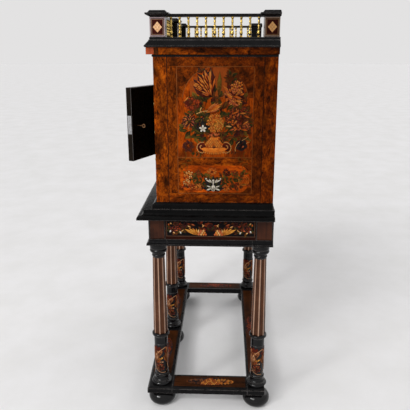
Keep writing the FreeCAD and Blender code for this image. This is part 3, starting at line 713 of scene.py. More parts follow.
class Panel:
    """The cuts of one panel of marquetry: across to the right and up, turned clockwise from up."""

    def __init__(self, seed):
        self.cuts = []
        self.draw = random.Random(seed)

    def lay(self, shape, across, up, turn, length, width, wood):
        self.cuts.append((shape, across, up, turn, length, width, wood))

    def dot(self, across, up, size, wood):
        self.lay("button", across, up - size / 2, 0, size, size, wood)

    def petal(self, shape, across, up, turn, length, width, wood, edge="brown", veins=0):
        """A petal with a dark edge showing round it, and veins drawn up from its foot."""
        edge_length, edge_width = length * 1.06 + 0.8, width + 1.8
        self.lay(shape, across, up, turn, edge_length, edge_width, edge)
        self.lay(shape, across, up, turn, length, width, wood)
        for n in range(veins):
            lean = (n + 0.5 - veins / 2) * 34 * width / length
            reach = length * self.draw.uniform(0.6, 0.82)
            self.lay("blade", across, up, turn + lean, reach, max(width * 0.13, 0.9), edge)

    def fan(self, shape, across, up, turn, reach, spread_turn, count, width, woods, edge="brown", veins=0):
        """Petals that spring from one foot, the outer ones first."""
        order = sorted(range(count), key=lambda n: -abs(n - (count - 1) / 2))
        for n in order:
            aside = 2 * n / (count - 1) - 1 if count > 1 else 0
            length = reach * (1 - 0.22 * abs(aside)) * self.draw.uniform(0.94, 1.05)
            self.petal(shape, across, up, turn + aside * spread_turn, length, width, woods[n % len(woods)],
                       edge, veins)

    def bloom(self, across, up, radius, rings, woods, turn=0.0, heart="brown", edge="brown", veins=1):
        """An open flower: rings of short petals that overlap like scales, the outer ring first."""
        for (count, reach, girth), wood in zip(rings, woods):
            for n in range(count):
                aim = turn + (n + self.draw.uniform(-0.25, 0.25)) * 360 / count
                tip = radius * reach * self.draw.uniform(0.9, 1.08)
                length = min(tip, radius * 0.55)
                foot = away(across, up, aim, tip - length)
                self.petal("petal", *foot, aim, length, radius * girth, wood, edge, veins)
            turn += 180 / count
        self.dot(across, up, radius * 0.24, heart)

    def ragged(self, across, up, half_wide, half_tall, count, woods, edge="brown", length=0.55, width=0.2):
        """A full flower with no plain rings: petals strewn round its middle, the outer ones first."""
        golden_turn = 137.5
        for n in range(count):
            out = 0.62 * (1 - n / count) ** 0.7
            turn = n * golden_turn + self.draw.uniform(-18, 18)
            foot = away(across, up, turn, half_wide * out, half_tall * out)
            self.petal("petal", *foot, turn + self.draw.uniform(-22, 22),
                       half_wide * length * self.draw.uniform(0.65, 1.0),
                       half_wide * width * self.draw.uniform(0.8, 1.2), self.draw.choice(woods), edge)

    def striped_flower(self, across, up, petals, ground, stripes):
        """A tulip: broad dark petals, as turn, length and width, with pale stripes over all of them."""
        for turn, length, width in petals:
            self.petal("blade", across, up, turn, length, width, ground, "ink")
        petals = sorted(petals)
        for row, share in enumerate((0.1, 0.3, 0.5, 0.7)):
            count = 6 + 2 * row
            for n in range(count):
                place = n / (count - 1) * (len(petals) - 1)
                near = min(int(place), len(petals) - 2)
                turn, reach, _ = (here + (beyond - here) * (place - near)
                                  for here, beyond in zip(petals[near], petals[near + 1]))
                foot = away(across, up, turn, reach * (share + self.draw.uniform(-0.08, 0.06)))
                self.lay("blade", *foot, turn + self.draw.uniform(-20, 8),
                         reach * self.draw.uniform(0.22, 0.3), reach * 0.044, self.draw.choice(stripes))

    def leaf(self, across, up, turn, length, wood, shape="lobed", rib="olive"):
        self.lay(shape, across, up, turn, length, length * 0.5, wood)
        self.lay("blade", across, up, turn, length * 0.85, max(length * 0.06, 1), rib)

    def thicket(self, across, up, half_width, half_height, count, woods, length):
        """Leaves strewn over an oval, pointing away from its middle."""
        for _ in range(count):
            turn = self.draw.uniform(0, 360)
            out = math.sqrt(self.draw.uniform(0.05, 1))
            foot = away(across, up, turn, half_width * out, half_height * out)
            size = length * self.draw.uniform(0.65, 1.15)
            self.leaf(*foot, turn + self.draw.uniform(-70, 70), size,
                      self.draw.choice(woods), self.draw.choice(("lobed", "blade")),
                      self.draw.choice(("olive", "brown", "ink")))

    def stem(self, across, up, turn, length, bend, wood, width=2.2, parts=5):
        """A bent stem of short slips; gives back where it ends and which way it points."""
        step = length / parts
        for _ in range(parts):
            self.lay("blade", across, up, turn, step * 1.35, width, wood)
            across, up = away(across, up, turn, step)
            turn += bend / parts
        return across, up, turn

    def spray(self, across, up, turn, length, bend, wood, leaf, leaf_wood, pairs=4):
        """A stem with leaves on both sides and one at its end."""
        step = length / pairs
        for n in range(pairs):
            across, up, turn = self.stem(across, up, turn, step, bend / pairs, wood, parts=2)
            size = leaf * (1 - 0.12 * n)
            for side in (-1, 1):
                lean = turn + side * self.draw.uniform(38, 58)
                self.lay("blade", across, up, lean, size, size * 0.4, leaf_wood)
        self.lay("blade", across, up, turn, leaf, leaf * 0.4, leaf_wood)

    def scroll(self, across, up, turn, size, wood, mirrored=False):
        self.lay("hook", across, up, turn, size, -size if mirrored else size, wood)
        self.dot(across, up, size * 0.3, wood)

    def ruled_frame(self, left, right, low, high, width, wood):
        """Four slips round a rectangle."""
        for across in (left, right):
            self.lay("slip", across, low, 0, high - low, width, wood)
        for up in (low, high):
            self.lay("slip", left - width / 2, up, 90, right - left + width, width, wood)


def stacked_levels(cuts, cell=6.0):
    """How many cuts lie under each cut, so that a later one shows over the earlier ones it crosses."""
    heights = {}
    levels = []
    for _, across, up, turn, length, width, _ in cuts:
        aim = math.radians(turn)
        half = abs(width) / 2
        steps = max(2, round(length / cell) + 1)
        covered = set()
        for n in range(steps):
            along = length * n / (steps - 1)
            for aside in (-half, 0, half):
                place = (across + along * math.sin(aim) + aside * math.cos(aim),
                         up + along * math.cos(aim) - aside * math.sin(aim))
                covered.add((round(place[0] / cell), round(place[1] / cell)))
        level = 1 + max(heights.get(square, 0) for square in covered)
        heights.update(dict.fromkeys(covered, level))
        levels.append(level)
    return levels


def inlaid(name, panel, base):
    """The panel's cuts as one flat piece: each is a blank, stretched, turned and set in place."""
    levels = stacked_levels(panel.cuts)
    rise = cut_depth / max(levels)
    woods = sorted({cut[-1] for cut in panel.cuts})
    joined = bmesh.new()
    for (shape, across, up, turn, length, width, wood), level in zip(panel.cuts, levels):
        mesh = blanks[shape].copy()
        place = Matrix.Translation((across, up, 0)) @ Matrix.Rotation(-math.radians(turn), 4, "Z")
        mesh.transform(place @ Matrix.Diagonal((width, length, base + rise * level, 1)))
        if width < 0:
            mesh.flip_normals()
        tone = panel.draw.uniform(0.25, 1.0)
        mesh.attributes["tone"].data.foreach_set("value", [tone] * len(mesh.vertices))
        mesh.polygons.foreach_set("material_index", [woods.index(wood)] * len(mesh.polygons))
        joined.from_mesh(mesh)
        bpy.data.meshes.remove(mesh)
    mesh = bpy.data.meshes.new(name)
    joined.to_mesh(mesh)
    joined.free()
    for wood in woods:
        mesh.materials.append(finishes[wood])
    piece = bpy.data.objects.new(name, mesh)
    bpy.context.scene.collection.objects.link(piece)
    return piece


def lay_on(piece, face, body):
    """Puts a flat piece on its face and lets it ride."""
    piece.data.transform(face)
    return finish_piece(piece, None, body)


def lay_copy(model, name, face, body):
    """Lays a copy of a flat model on a face."""
    return lay_on(copy_at(model, name), face, body)


def sheet_of(name, left, right, low, high, thickness, finish):
    """A flat sheet of veneer in millimetres, its edges eased."""
    sheet = start_plane(name)
    widen(right - left, high - low, 1)
    shift((left + right) / 2, (low + high) / 2, 0)
    draw_out(0, 0, thickness)
    pick_points(sheet, lambda place: place.z > thickness / 2)
    bpy.ops.mesh.bevel(offset=thickness * eased_share, segments=1, affect="EDGES")
    return close_shape(sheet, finish)


def joined_sheets(name, sheets):
    """Several flat pieces as one."""
    bpy.ops.object.select_all(action="DESELECT")
    for sheet in sheets:
        sheet.select_set(True)
    bpy.context.view_layer.objects.active = sheets[0]
    bpy.ops.object.join()
    joined = bpy.context.object
    joined.name = name
    return joined


def framed_lines(left, right, low, high, width, thickness, finish):
    """Four thin lines let in round a rectangle."""
    half = width / 2
    uprights = [sheet_of("line", at - half, at + half, low - half, high + half, thickness, finish)
                for at in (left, right)]
    levels = [sheet_of("line", left + half, right - half, at - half, at + half, thickness, finish)
              for at in (low, high)]
    return uprights + levels


def face_of(node, side):
    """The frame of one outer face of a node, in millimetres of the shared frame along and up."""
    low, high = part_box(node)
    origin, right = {
        "right": ((high.x, 0, 0), (0, 1, 0)),
        "left": ((low.x, 0, 0), (0, -1, 0)),
        "front": ((0, low.y, 0), (1, 0, 0)),
    }[side]
    return face_at(origin, right, (0, 0, 1))


# Finishes of the CAD nodes that stay

def paint(finish, *names):
    for name in names:
        for slot in nodes[name].material_slots:
            slot.material = finishes[finish]


drawers = [name for name in nodes if "drawer" in name and not name.endswith("_pull")]
pulls = [name for name in nodes if name.endswith("_pull")]
feet = [name for name in nodes if name.startswith("foot_")]
columns = [name for name in nodes if name.startswith("column_")]
paint("ebonised", "cornice", "neck_bead", "lower_frame", "gallery_posts", "gallery_rails", "stretcher_front",
      "stretcher_back", "stretcher_left", "stretcher_right", "dust_boards", "left_divider", "right_divider")
# the stand's top and base moulding take a darker black as painted shade
paint("ebonised_deep", "stand_top", "base_moulding")
# the door's black is lifted as a painted reflection on its shaded inside
paint("ebonised_door", "door_panel")
paint("rosewood_cross", "apron_left", "apron_right")
paint("rosewood_long", "apron_front")
paint("ebonised_gloss", *feet)
paint("burr_stile", "left_end", "right_end")
paint("burr_rail", "frieze")
paint("carcass", "case_bottom", "case_top", *drawers)
paint("carcass_upright", "back_panel", "apron_back")
paint("gilt_brass", "door_hinge_leaves", "case_hinge_leaves", "hinge_pins", "door_escutcheon", *pulls)
paint("gallery_brass", "gallery_balusters")
paint("steel", "door_lock", "lock_bolt")
paint("key_bronze", "door_key")


# Columns

base_height = 0.049
drum_height = 0.195
drum_radius = 0.030
ring_height = 0.020
ring_radius = 0.0385
shaft_height = 0.364
shaft_bottom_radius = 0.031
shaft_top_radius = 0.0255
capital_height = 0.066
abacus_radius = 0.037
flute_count = 8
flute_depth = 0.0034
fillet_width = 0.0062


def column_base():
    torus = [(0.036, 0.0), *curve_points((0.036, 0.0), (0.046, 0.010), (0.036, 0.020))]
    scotia = [(0.038, 0.020), (0.038, 0.024),
              *curve_points((0.037, 0.024), (0.0315, 0.034), (0.034, 0.045))]
    return turned("column_base", [(0, 0), *torus, *scotia, (0.034, base_height), (0, base_height)])


def column_drum():
    """A plain drum with a fine groove below its inlay and one above it."""
    groove = 0.0008
    outline = [(0, 0), (drum_radius, 0)]
    for height in (0.005, 0.159):
        outline += [(drum_radius, height - mm), (drum_radius - groove, height), (drum_radius, height + mm)]
    return turned("column_drum", [*outline, (drum_radius, drum_height), (0, drum_height)])


def column_ring():
    edge = (ring_radius, 0.0135)
    flare = curve_points((drum_radius, 0.0), (0.0325, 0.006), (ring_radius, 0.0085))
    top = curve_points(edge, (0.0375, 0.017), (0.034, ring_height), 4)
    return turned("column_ring", [(0, 0), (drum_radius, 0), *flare, edge, *top, (0, ring_height)])


def column_capital():
    neck, slab = shaft_top_radius, abacus_radius
    bead = curve_points((neck, 0.003), (0.0290, 0.009), (neck, 0.015))
    echinus = curve_points((0.0270, 0.019), (0.0372, 0.029), (0.0335, 0.039))
    outline = [(0, 0), (neck, 0), (neck, 0.003), *bead, (neck, 0.019), (0.0270, 0.019), *echinus,
               (0.0335, 0.042), (slab, 0.043), (slab, 0.059), (0.0355, 0.061), (0.0355, 0.063),
               (slab, 0.0645), (slab, capital_height), (0, capital_height)]
    return turned("column_capital", outline)


def flute_share(angle):
    """How deep the shaft is hollowed at one angle: nothing on a fillet, all in the middle of a flute."""
    pitch = math.tau / flute_count
    half_fillet = fillet_width / shaft_bottom_radius / 2
    aside = abs((angle + pitch / 2) % pitch - pitch / 2)
    if aside <= half_fillet:
        return 0
    across = (aside - half_fillet) / (pitch / 2 - half_fillet)
    return round(math.sqrt(1 - (1 - across) ** 2), 3)


def column_shaft():
    """A tapered shaft: a ring of points drawn in at the flutes, raised and narrowed to the neck."""
    per_flute = 16
    points = flute_count * per_flute
    shaft = start_disc("column_shaft", points, shaft_bottom_radius)
    depths = {flute_share(math.tau * step / points) for step in range(per_flute)}
    for depth in sorted(depths - {0}):
        pick_points(shaft, lambda place: abs(flute_share(math.atan2(place.y, place.x)) - depth) < 0.002
                    and place.length > shaft_bottom_radius - mm / 1000)
        inward = 1 - depth * flute_depth / shaft_bottom_radius
        widen(inward, inward, 1)
    pick_all()
    draw_out(0, 0, shaft_height)
    narrow = shaft_top_radius / shaft_bottom_radius
    widen(narrow, narrow, 1, (0, 0, shaft_height))
    close_shape(shaft)
    bpy.ops.object.shade_smooth_by_angle(angle=math.radians(40))
    return shaft


def fillet_strips():
    """Pale strips let into the fillets between the flutes."""
    proud, thickness, width = 0.0004, 0.002, fillet_width * 0.8
    strips = []
    for flute in range(flute_count):
        strip = start_shape("fillet_strip", bpy.ops.mesh.primitive_cube_add, size=1)
        widen(thickness, width, shaft_height)
        shift(shaft_bottom_radius - thickness / 2 + proud, 0, shaft_height / 2)
        pick_points(strip, lambda place: place.z > shaft_height / 2)
        shift(shaft_top_radius - shaft_bottom_radius, 0, 0)
        pick_all()
        turn_flat(-math.tau * flute / flute_count)
        strips.append(close_shape(strip))
    return joined_sheets("fillet_strips", strips)


def foot_of(column):
    """The middle of a column's underside."""
    low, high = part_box(column)
    return Vector(((low.x + high.x) / 2, (low.y + high.y) / 2, low.z))


def build_columns():
    """Every column from one set of models, stacked up from its foot."""
    shaft_low = base_height + drum_height + ring_height
    models = {
        "base": (column_base(), "ebonised_turned", 0),
        "drum": (column_drum(), "ebonised_turned", base_height),
        "ring": (column_ring(), "ebonised_turned", base_height + drum_height),
        "shaft": (column_shaft(), "shaft_walnut", shaft_low),
        "fillets": (fillet_strips(), "fillet", shaft_low),
        "capital": (column_capital(), "ebonised_turned", shaft_low + shaft_height),
    }
    for column in columns:
        for part, (model, finish, rise) in models.items():
            piece = copy_at(model, f"{column}_{part}", foot_of(column) + Vector((0, 0, rise)))
            finish_piece(piece, finish, "cabinet")
            if part == "shaft":
                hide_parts(column)
    for model, _, _ in models.values():
        drop(model)


build_columns()


# Ends of the case

end_low, end_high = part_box("right_end")
stile_line = 186
band_line = 148
end_half = (end_high.y - end_low.y) / 2 / mm
end_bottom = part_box("base_moulding")[1].z / mm
end_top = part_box("neck_bead")[0].z / mm
rail_top = 1521
rail_bottom = 1021
arch_radius = 128
arch_spring = 1393
shoulder = 1404
field_bottom = 1172
panel_top = 1138
panel_bottom = 1026
panel_half = 140


def arched_field(thickness):
    """The field behind the bouquet: a board whose top rises between two shoulders in a round arch."""
    field = start_disc("arched_field", 64, arch_radius)
    shift(0, arch_spring, 0)
    bpy.ops.mesh.bisect(plane_co=(0, shoulder, 0), plane_no=(0, 1, 0), clear_inner=True, use_fill=False)
    pick_points(field, lambda place: abs(place.y - shoulder) < 0.5)
    draw_out(0, 0, 0)
    reach = math.sqrt(arch_radius ** 2 - (shoulder - arch_spring) ** 2)
    widen(band_line / reach, 1, 1, (0, shoulder, 0))
    draw_out(0, field_bottom - shoulder, 0)
    pick_all()
    bpy.ops.mesh.remove_doubles(threshold=0.01)
    bpy.ops.mesh.dissolve_limited(angle_limit=math.radians(1))
    pick_all()
    draw_out(0, 0, thickness)
    return close_shape(field, "arch_field")


def round_ended_field(thickness):
    """The lower field: a board with bowed ends."""
    bow, half_height = 42, (panel_top - panel_bottom) / 2
    field = start_disc("round_ended_field", 48, half_height)
    widen(bow / half_height, 1, 1)
    shift(0, panel_bottom + half_height, 0)
    for side in (-1, 1):
        pick_points(field, lambda place: place.x * side > 0.01)
        shift(side * (panel_half - bow), 0, 0)
    pick_all()
    draw_out(0, 0, thickness)
    return close_shape(field, "panel_field")


def arch_string():
    """A pale line let in round the arch: a short edge spun about the arch's centre."""
    radius, start, sweep = arch_radius - 1, math.radians(5), math.radians(170)
    string = start_plane("arch_string")
    pick_points(string, lambda place: place.y > 0)
    bpy.ops.mesh.delete(type="VERT")
    pick_all()
    widen(string_width, 1, 1)
    shift(radius, 0.5, 0)
    turn_flat(-start)
    spin_round(40, -sweep)
    pick_all()
    shift(0, arch_spring, 0)
    draw_out(0, 0, string_rise)
    return close_shape(string, "string")


def end_veneers():
    """Stiles, rails and grounds of one end, with the dark joints and pale lines between them."""
    gap, line = 1.2, string_width / 2
    inner = stile_line - gap
    sheets = []
    for side in (-1, 1):
        near, far = sorted((side * (stile_line + gap), side * end_half))
        sheets.append(sheet_of("stile", near, far, end_bottom, end_top, veneer, "burr_stile"))
        near, far = sorted((side * (band_line + line), side * inner))
        sheets.append(sheet_of("band", near, far, rail_bottom, rail_top, veneer, "burr_band"))
    sheets.append(sheet_of("top_rail", -inner, inner, rail_top + gap, end_top, veneer, "burr_ground"))
    sheets.append(sheet_of("bottom_rail", -inner, inner, end_bottom, rail_bottom - gap, veneer, "burr_rail"))
    for low, high, wood in ((rail_bottom, field_bottom, "burr_rail"),
                            (field_bottom, rail_top, "burr_ground")):
        sheets.append(sheet_of("ground", -band_line, band_line, low, high, veneer * 0.8, wood))
    for up in (rail_top, rail_bottom, field_bottom - 2):
        sheets.append(sheet_of("line", -band_line, band_line, up - line, up + line, string_rise, "string"))
    for side in (-1, 1):
        across = side * band_line
        sheets.append(sheet_of("line", across - line, across + line, rail_bottom, rail_top, string_rise,
                               "string"))
        across = side * stile_line
        sheets.append(sheet_of("joint", across - gap, across + gap, end_bottom, end_top, veneer / 2, "ink"))
    sheets += [arched_field(veneer * 1.2), round_ended_field(veneer * 1.2), arch_string()]
    return joined_sheets("end_veneers", sheets)


def end_bouquet():
    """A bouquet in a scrolled vase under the arch, with a butterfly beside it."""
    panel = Panel(11)
    dark_leaves = ("green", "green", "olive", "brown", "plum")
    # boards of a lighter wood behind the flowers
    for across, low, high, width in ((18, 1404, 1518, 54), (-91, 1416, 1468, 14), (-76, 1416, 1484, 16)):
        panel.lay("slip", across, low, 0, high - low, width, "amber")
    for across, turn, length, bend in (
            (-4, -22, 190, 14), (6, 24, 180, 16), (-10, -42, 120, 20),
            (10, 46, 130, -18), (-12, -62, 95, 30), (14, 66, 100, -30)):
        panel.stem(across, 1250, turn, length, bend, "olive", 3)
    panel.thicket(0, 1330, 118, 78, 64, dark_leaves, 36)
    panel.thicket(0, 1385, 100, 40, 30, dark_leaves, 34)
    panel.thicket(-70, 1290, 56, 40, 20, ("green", "green", "olive"), 34)
    panel.thicket(66, 1268, 60, 30, 18, ("green", "brown", "olive"), 32)
    panel.thicket(0, 1256, 66, 20, 20, ("green", "green", "brown"), 30)
    # darker leaves: beside the board, behind the tulip and below it, on the right, and over the star flower
    for across, high, width in ((58, 1507, 26), (81, 1493, 22), (99, 1474, 16)):
        panel.lay("slip", across, 1420, 0, high - 1420, width, "bark")
    panel.thicket(62, 1474, 10, 18, 14, ("green", "brown", "bark"), 22)
    panel.thicket(108, 1330, 22, 84, 44, ("bark", "brown", "bark", "olive"), 26)
    panel.thicket(-40, 1496, 20, 8, 14, ("green", "ink", "brown"), 20)
    panel.thicket(-18, 1402, 44, 10, 24, ("green", "ink", "brown"), 24)
    panel.thicket(92, 1312, 42, 44, 50, ("brown", "plum", "ink", "green"), 28)
    panel.thicket(-60, 1318, 22, 20, 16, ("ink", "green"), 26)
    for across, up, turn, length, wood in (
            (-44, 1390, -20, 42, "green"), (-26, 1398, 10, 40, "olive"), (46, 1358, 50, 38, "green"),
            (-60, 1330, -30, 46, "green"), (-48, 1262, -60, 46, "green"), (44, 1270, 60, 46, "green"),
            (-60, 1300, 20, 34, "ink"), (-36, 1330, -40, 30, "green")):
        panel.leaf(across, up, turn, length, wood)
    # the tall leaf beside the tulip
    panel.petal("blade", 14, 1402, 2, 100, 16, "olive", "brown", 2)
    # the striped tulip
    tulip_petals = ((-60, 78, 34), (-2, 108, 30), (-46, 92, 38), (-15, 108, 36), (-31, 100, 42))
    panel.striped_flower(-14, 1406, tulip_petals, "plum", ("straw", "orange", "straw", "rose"))
    panel.petal("blade", -24, 1450, 7, 62, 7, "straw", "ink")
    panel.petal("blade", -12, 1432, 13, 54, 6, "orange", "ink")
    # the peony: a full head over feathers that fall to the right
    panel.lay("button", 74, 1378, 0, 82, 76, "plum")
    panel.ragged(72, 1412, 38, 40, 50, ("orange", "rose", "straw"), "ink", 0.55, 0.16)
    for across, up, turn, length, wood in (
            (46, 1404, 122, 46, "straw"), (66, 1412, 106, 40, "orange"), (56, 1392, 118, 42, "rose"),
            (72, 1398, 112, 36, "straw")):
        panel.petal("blade", across, up, turn, length, 8, wood, "ink")
    for n in range(6):
        panel.petal("blade", 27 + 4 * n, 1452 - 9 * n, 128 + panel.draw.uniform(-8, 8),
                    panel.draw.uniform(28, 38), 6.5, ("straw", "orange", "rose")[n % 3], "ink")
    panel.ragged(84, 1444, 27, 25, 32, ("straw", "orange", "straw", "rose"), "ink", 0.55, 0.22)
    # the lily under the tulip
    panel.fan("blade", -36, 1348, 60, 70, 15, 5, 10, ("straw", "rose", "orange"), "brown", 1)
    panel.stem(-36, 1348, 78, 72, -44, "straw", 4)
    panel.stem(-57, 1350, -12, 18, 70, "cream", 4, 4)
    panel.stem(-76, 1341, 64, 46, 24, "cream", 3)
    # a dark red flower on the left, and the striped carnation below it
    panel.ragged(-90, 1380, 29, 22, 40, ("russet", "plum", "brown"), "plum", 0.6, 0.34)
    panel.petal("blade", -122, 1388, 44, 28, 5, "straw", "brown")
    panel.ragged(-101, 1314, 29, 31, 74, ("straw", "plum", "rose", "brown", "plum"), "ink", 0.52, 0.1)
    # dark roses on the right, with pale tips between them
    for across, up, size, woods in (
            (76, 1352, 17, ("russet", "orange", "brown")), (112, 1352, 17, ("olive", "russet", "brown")),
            (104, 1320, 21, ("russet", "plum", "brown")), (62, 1320, 19, ("orange", "russet", "brown")),
            (84, 1294, 19, ("orange", "russet", "plum")), (122, 1294, 15, ("russet", "orange", "rose"))):
        panel.ragged(across, up, size, size, 30, woods, "ink", 0.6, 0.34)
    for across, up, turn, length, wood in (
            (62, 1340, 66, 32, "orange"), (94, 1344, 84, 28, "straw"), (110, 1338, 112, 28, "orange"),
            (108, 1302, 58, 26, "straw"), (40, 1296, 96, 26, "cream"), (72, 1302, 40, 22, "straw"),
            (100, 1284, 100, 30, "orange"), (56, 1278, 70, 22, "rose"), (84, 1330, 30, 20, "rose")):
        panel.petal("blade", across, up, turn, length, 6, wood, "ink")
    # the large bloom in the middle
    panel.ragged(0, 1307, 40, 45, 130, ("straw", "marigold", "gold", "orange"), "plum", 0.36, 0.16)
    # the white star flower on its dark leaves
    for turn in (-80, -10, 60):
        panel.leaf(-46, 1281, turn, 34, "ink", "lobed", "green")
    for n in range(5):
        panel.lay("petal", -48, 1285, 72 * n, 14.5, 8, "bone")
    # a dark flower and small leaves on the left
    panel.ragged(-106, 1215, 21, 20, 34, ("plum", "brown", "bark"), "ink", 0.6, 0.36)
    for across, turn, bend, wood in ((-78, 70, 20, "green"), (-40, -110, 30, "green"),
                                     (98, -80, -20, "brown")):
        panel.spray(across, 1190, turn, 42, bend, "brown", 15, wood, 3)
    lay_vase(panel, -4, 1190)
    lay_butterfly(panel, 103, 1218)
    return panel


def lay_vase(panel, middle, foot):
    """A low vase: a boat over a fringe, scrolls at its ends, and scales up to its neck."""
    # a red cluster over a dome of scales
    panel.ragged(middle, foot + 66, 24, 14, 26, ("rose", "russet", "orange"), "plum", 0.5, 0.3)
    scale, scale_length, lift = 9, 13, 5.5
    for row, half_width in enumerate((46, 37, 30, 25, 21, 17, 12)):
        count = max(2, round(2 * half_width / scale))
        for n in range(count + 1):
            aside = (2 * n / count - 1) * half_width
            wood = panel.draw.choice(("marigold", "straw", "orange"))
            panel.petal("petal", middle + aside, foot + 30 + lift * row, 180 - aside * 0.4, scale_length,
                        scale, wood, "plum")
    # the boat, with a large scroll and a small one at each end
    for side in (-1, 1):
        panel.lay("button", middle + side * 50, foot + 6, 0, 34, 34, "plum")
        panel.lay("hook", middle + side * 48, foot + 22, 90 * side, 17, -17 * side, "cream")
        panel.stem(middle + side * 38, foot + 40, side * 78, 84, side * 225, "cream", 3, 11)
    panel.petal("button", middle, foot - 1, 0, 20, 92, "marigold", "russet")
    for side in (-1, 1):
        panel.petal("blade", middle + side * 8, foot + 9, side * 82, 46, 15, "marigold", "russet")
    # a fringe under it
    fringe, fringe_half = 11, 38
    for n in range(fringe):
        aside = (2 * n / (fringe - 1) - 1) * fringe_half
        hung = foot + 4 + 6 * (aside / fringe_half) ** 2
        wood = ("straw", "marigold")[n % 2]
        panel.petal("petal", middle + aside, hung, 180 - aside * 0.6, 12, 5, wood, "plum")
    for turn in (0, 90, 180, 270):
        panel.lay("petal", middle, foot + 22, turn, 7, 4.4, "ink")


def lay_butterfly(panel, across, up):
    """A dark butterfly with folded wings, lined with a pale wood."""
    for turn, length, width in ((-112, 22, 24), (168, 20, 26), (96, 24, 22), (-42, 24, 26), (28, 27, 28)):
        panel.petal("petal", across, up, turn, length, width, "ink", "plum", 1)
    panel.stem(across - 22, up - 24, -6, 44, 62, "cream", 2.4, 7)
    panel.stem(across + 2, up + 20, 62, 30, -14, "cream", 2.2, 5)
    panel.stem(across + 20, up + 8, 40, 16, 60, "cream", 2.2, 4)
    panel.petal("petal", across + 4, up - 8, 40, 10, 7, "rose", "ink")


def lower_flowers():
    """The lower panel: flowers and leaves round a bone ornament."""
    panel = Panel(12)
    middle = -6
    for side in (-1, 1):
        panel.thicket(side * 54, 1078, 42, 22, 36, ("green", "olive", "olive", "brown"), 22)
        panel.thicket(side * 96, 1076, 34, 34, 20, ("brown", "olive", "russet", "green"), 20)
        panel.spray(side * 20 - 3, 1062, side * 62, 76, side * 36, "olive", 22, "green", 5)
        panel.spray(side * 24 - 3, 1050, side * 100, 80, -side * 20, "brown", 18, "brown", 4)
    for across, up, half_wide, half_tall, woods in (
            (-106, 1098, 17, 18, ("cream", "orange", "straw")),
            (-112, 1066, 15, 15, ("straw", "orange", "cream")),
            (-92, 1050, 13, 12, ("orange", "straw", "russet")),
            (-67, 1046, 16, 14, ("orange", "straw", "orange")),
            (47, 1044, 16, 13, ("orange", "straw", "orange")),
            (88, 1052, 13, 12, ("russet", "orange", "brown")),
            (-11, 1113, 18, 13, ("orange", "straw", "orange")),
            (47, 1110, 15, 13, ("ink", "plum", "brown")),
            (-66, 1108, 11, 11, ("olive", "brown", "russet")),
            (84, 1106, 11, 11, ("olive", "russet", "orange"))):
        panel.ragged(across, up, half_wide, half_tall, 26, woods, "plum", 0.6, 0.3)
    panel.dot(-11, 1111, 9, "plum")
    # a rose drawn in thin lines on the right
    for radius in (21, 15, 9, 4):
        panel.stem(112, 1076 + radius, 90, radius * 5.2, 300, "straw" if radius > 10 else "orange", 1.8, 12)
    # the bone ornament on its dark leaves: a shell between two feet, a waist, and two wings
    panel.fan("lobed", middle, 1034, 0, 58, 76, 9, 20, ("ink", "green"), "ink")
    for side in (-1, 1):
        for foot, turn, length, width in ((1044, 112, 26, 6), (1046, 70, 24, 5), (1066, 62, 30, 6),
                                          (1066, 38, 20, 5)):
            panel.petal("blade", middle + side * 5, foot, side * turn, length, width, "bone", "ink")
        panel.dot(middle + side * 29, 1083, 6, "bone")
    panel.petal("button", middle, 1030, 0, 27, 17, "bone", "ink")
    for turn in (-26, 0, 26):
        panel.lay("blade", middle, 1031, turn, 22, 2.2, "ink")
    panel.petal("blade", middle, 1054, 0, 22, 6, "bone", "ink")
    panel.petal("button", middle, 1070, 0, 10, 9, "bone", "ink")
    # fine tendrils in the corners above
    for side in (-1, 1):
        for across, up, turn, length, bend in ((140, 1164, -110, 52, 170), (132, 1142, -60, 44, -190),
                                               (112, 1160, -140, 38, 220)):
            panel.stem(side * across, up, side * turn, length, side * bend, "olive", 2, 9)
    return panel


def build_ends():
    veneers = end_veneers()
    lower = inlaid("end_lower_flowers", lower_flowers(), above_veneer)
    for side, _ in sides:
        for model, part in ((veneers, "veneers"), (bouquet, "bouquet"), (lower, "lower_flowers")):
            lay_copy(model, f"{side}_end_{part}", face_of(f"{side}_end", side), "cabinet")
    drop(veneers)
    drop(lower)


bouquet = inlaid("bouquet", end_bouquet(), above_veneer)
build_ends()


# Gallery posts and frieze

post_size = 57
post_low = 1629
post_high = 1697
post_front = -216.5
post_back = 209.5
post_side = 517.5
frieze_inset = 1
end_grain = (1, 30)
dark_strip = (31, 48)


def post_inlay():
    """The face of a gallery post: nested frames round a lozenge of nine checks."""
    panel = Panel(21)
    middle = (post_low + post_high) / 2
    half = post_size / 2
    panel.lay("slip", 0, post_low, 0, post_high - post_low, post_size - 1, "ink")
    for inset, width, wood in ((2.0, 3.4, "pearl"), (7.2, 2.2, "faded")):
        panel.ruled_frame(inset - half, half - inset, post_low + inset, post_high - inset, width, wood)
    field_inset = 9.5
    panel.lay("slip", 0, post_low + field_inset, 0, post_high - post_low - 2 * field_inset,
              post_size - 2 * field_inset, "maroon")
    check_across, check_up, joint = 11.6, 13.2, 0.8
    for row in range(3):
        for column in range(3):
            across = (column - row) * check_across / 2
            up = middle + (row + column - 3) * check_up / 2
            panel.lay("lozenge", across, up, 0, check_up - joint, check_across - joint, "peach")
    return panel


def build_post_inlays():
    model = inlaid("post_inlay", post_inlay(), base=0.5)
    half = post_size / 2 * mm
    faces = {}
    for row, along in (("front", post_front), ("back", post_back)):
        for side, sign in sides:
            outer = (sign * (post_side * mm + half), along * mm, 0)
            faces[f"{side}_{row}"] = face_at(outer, (0, sign, 0), (0, 0, 1))
    for column, across in (("left", -post_side), ("middle", 0), ("right", post_side)):
        outer = (across * mm, post_front * mm - half, 0)
        faces[f"front_{column}"] = face_at(outer, (1, 0, 0), (0, 0, 1))
    for post, face in faces.items():
        lay_copy(model, f"{post}_post_inlay", face, "cabinet")
    drop(model)


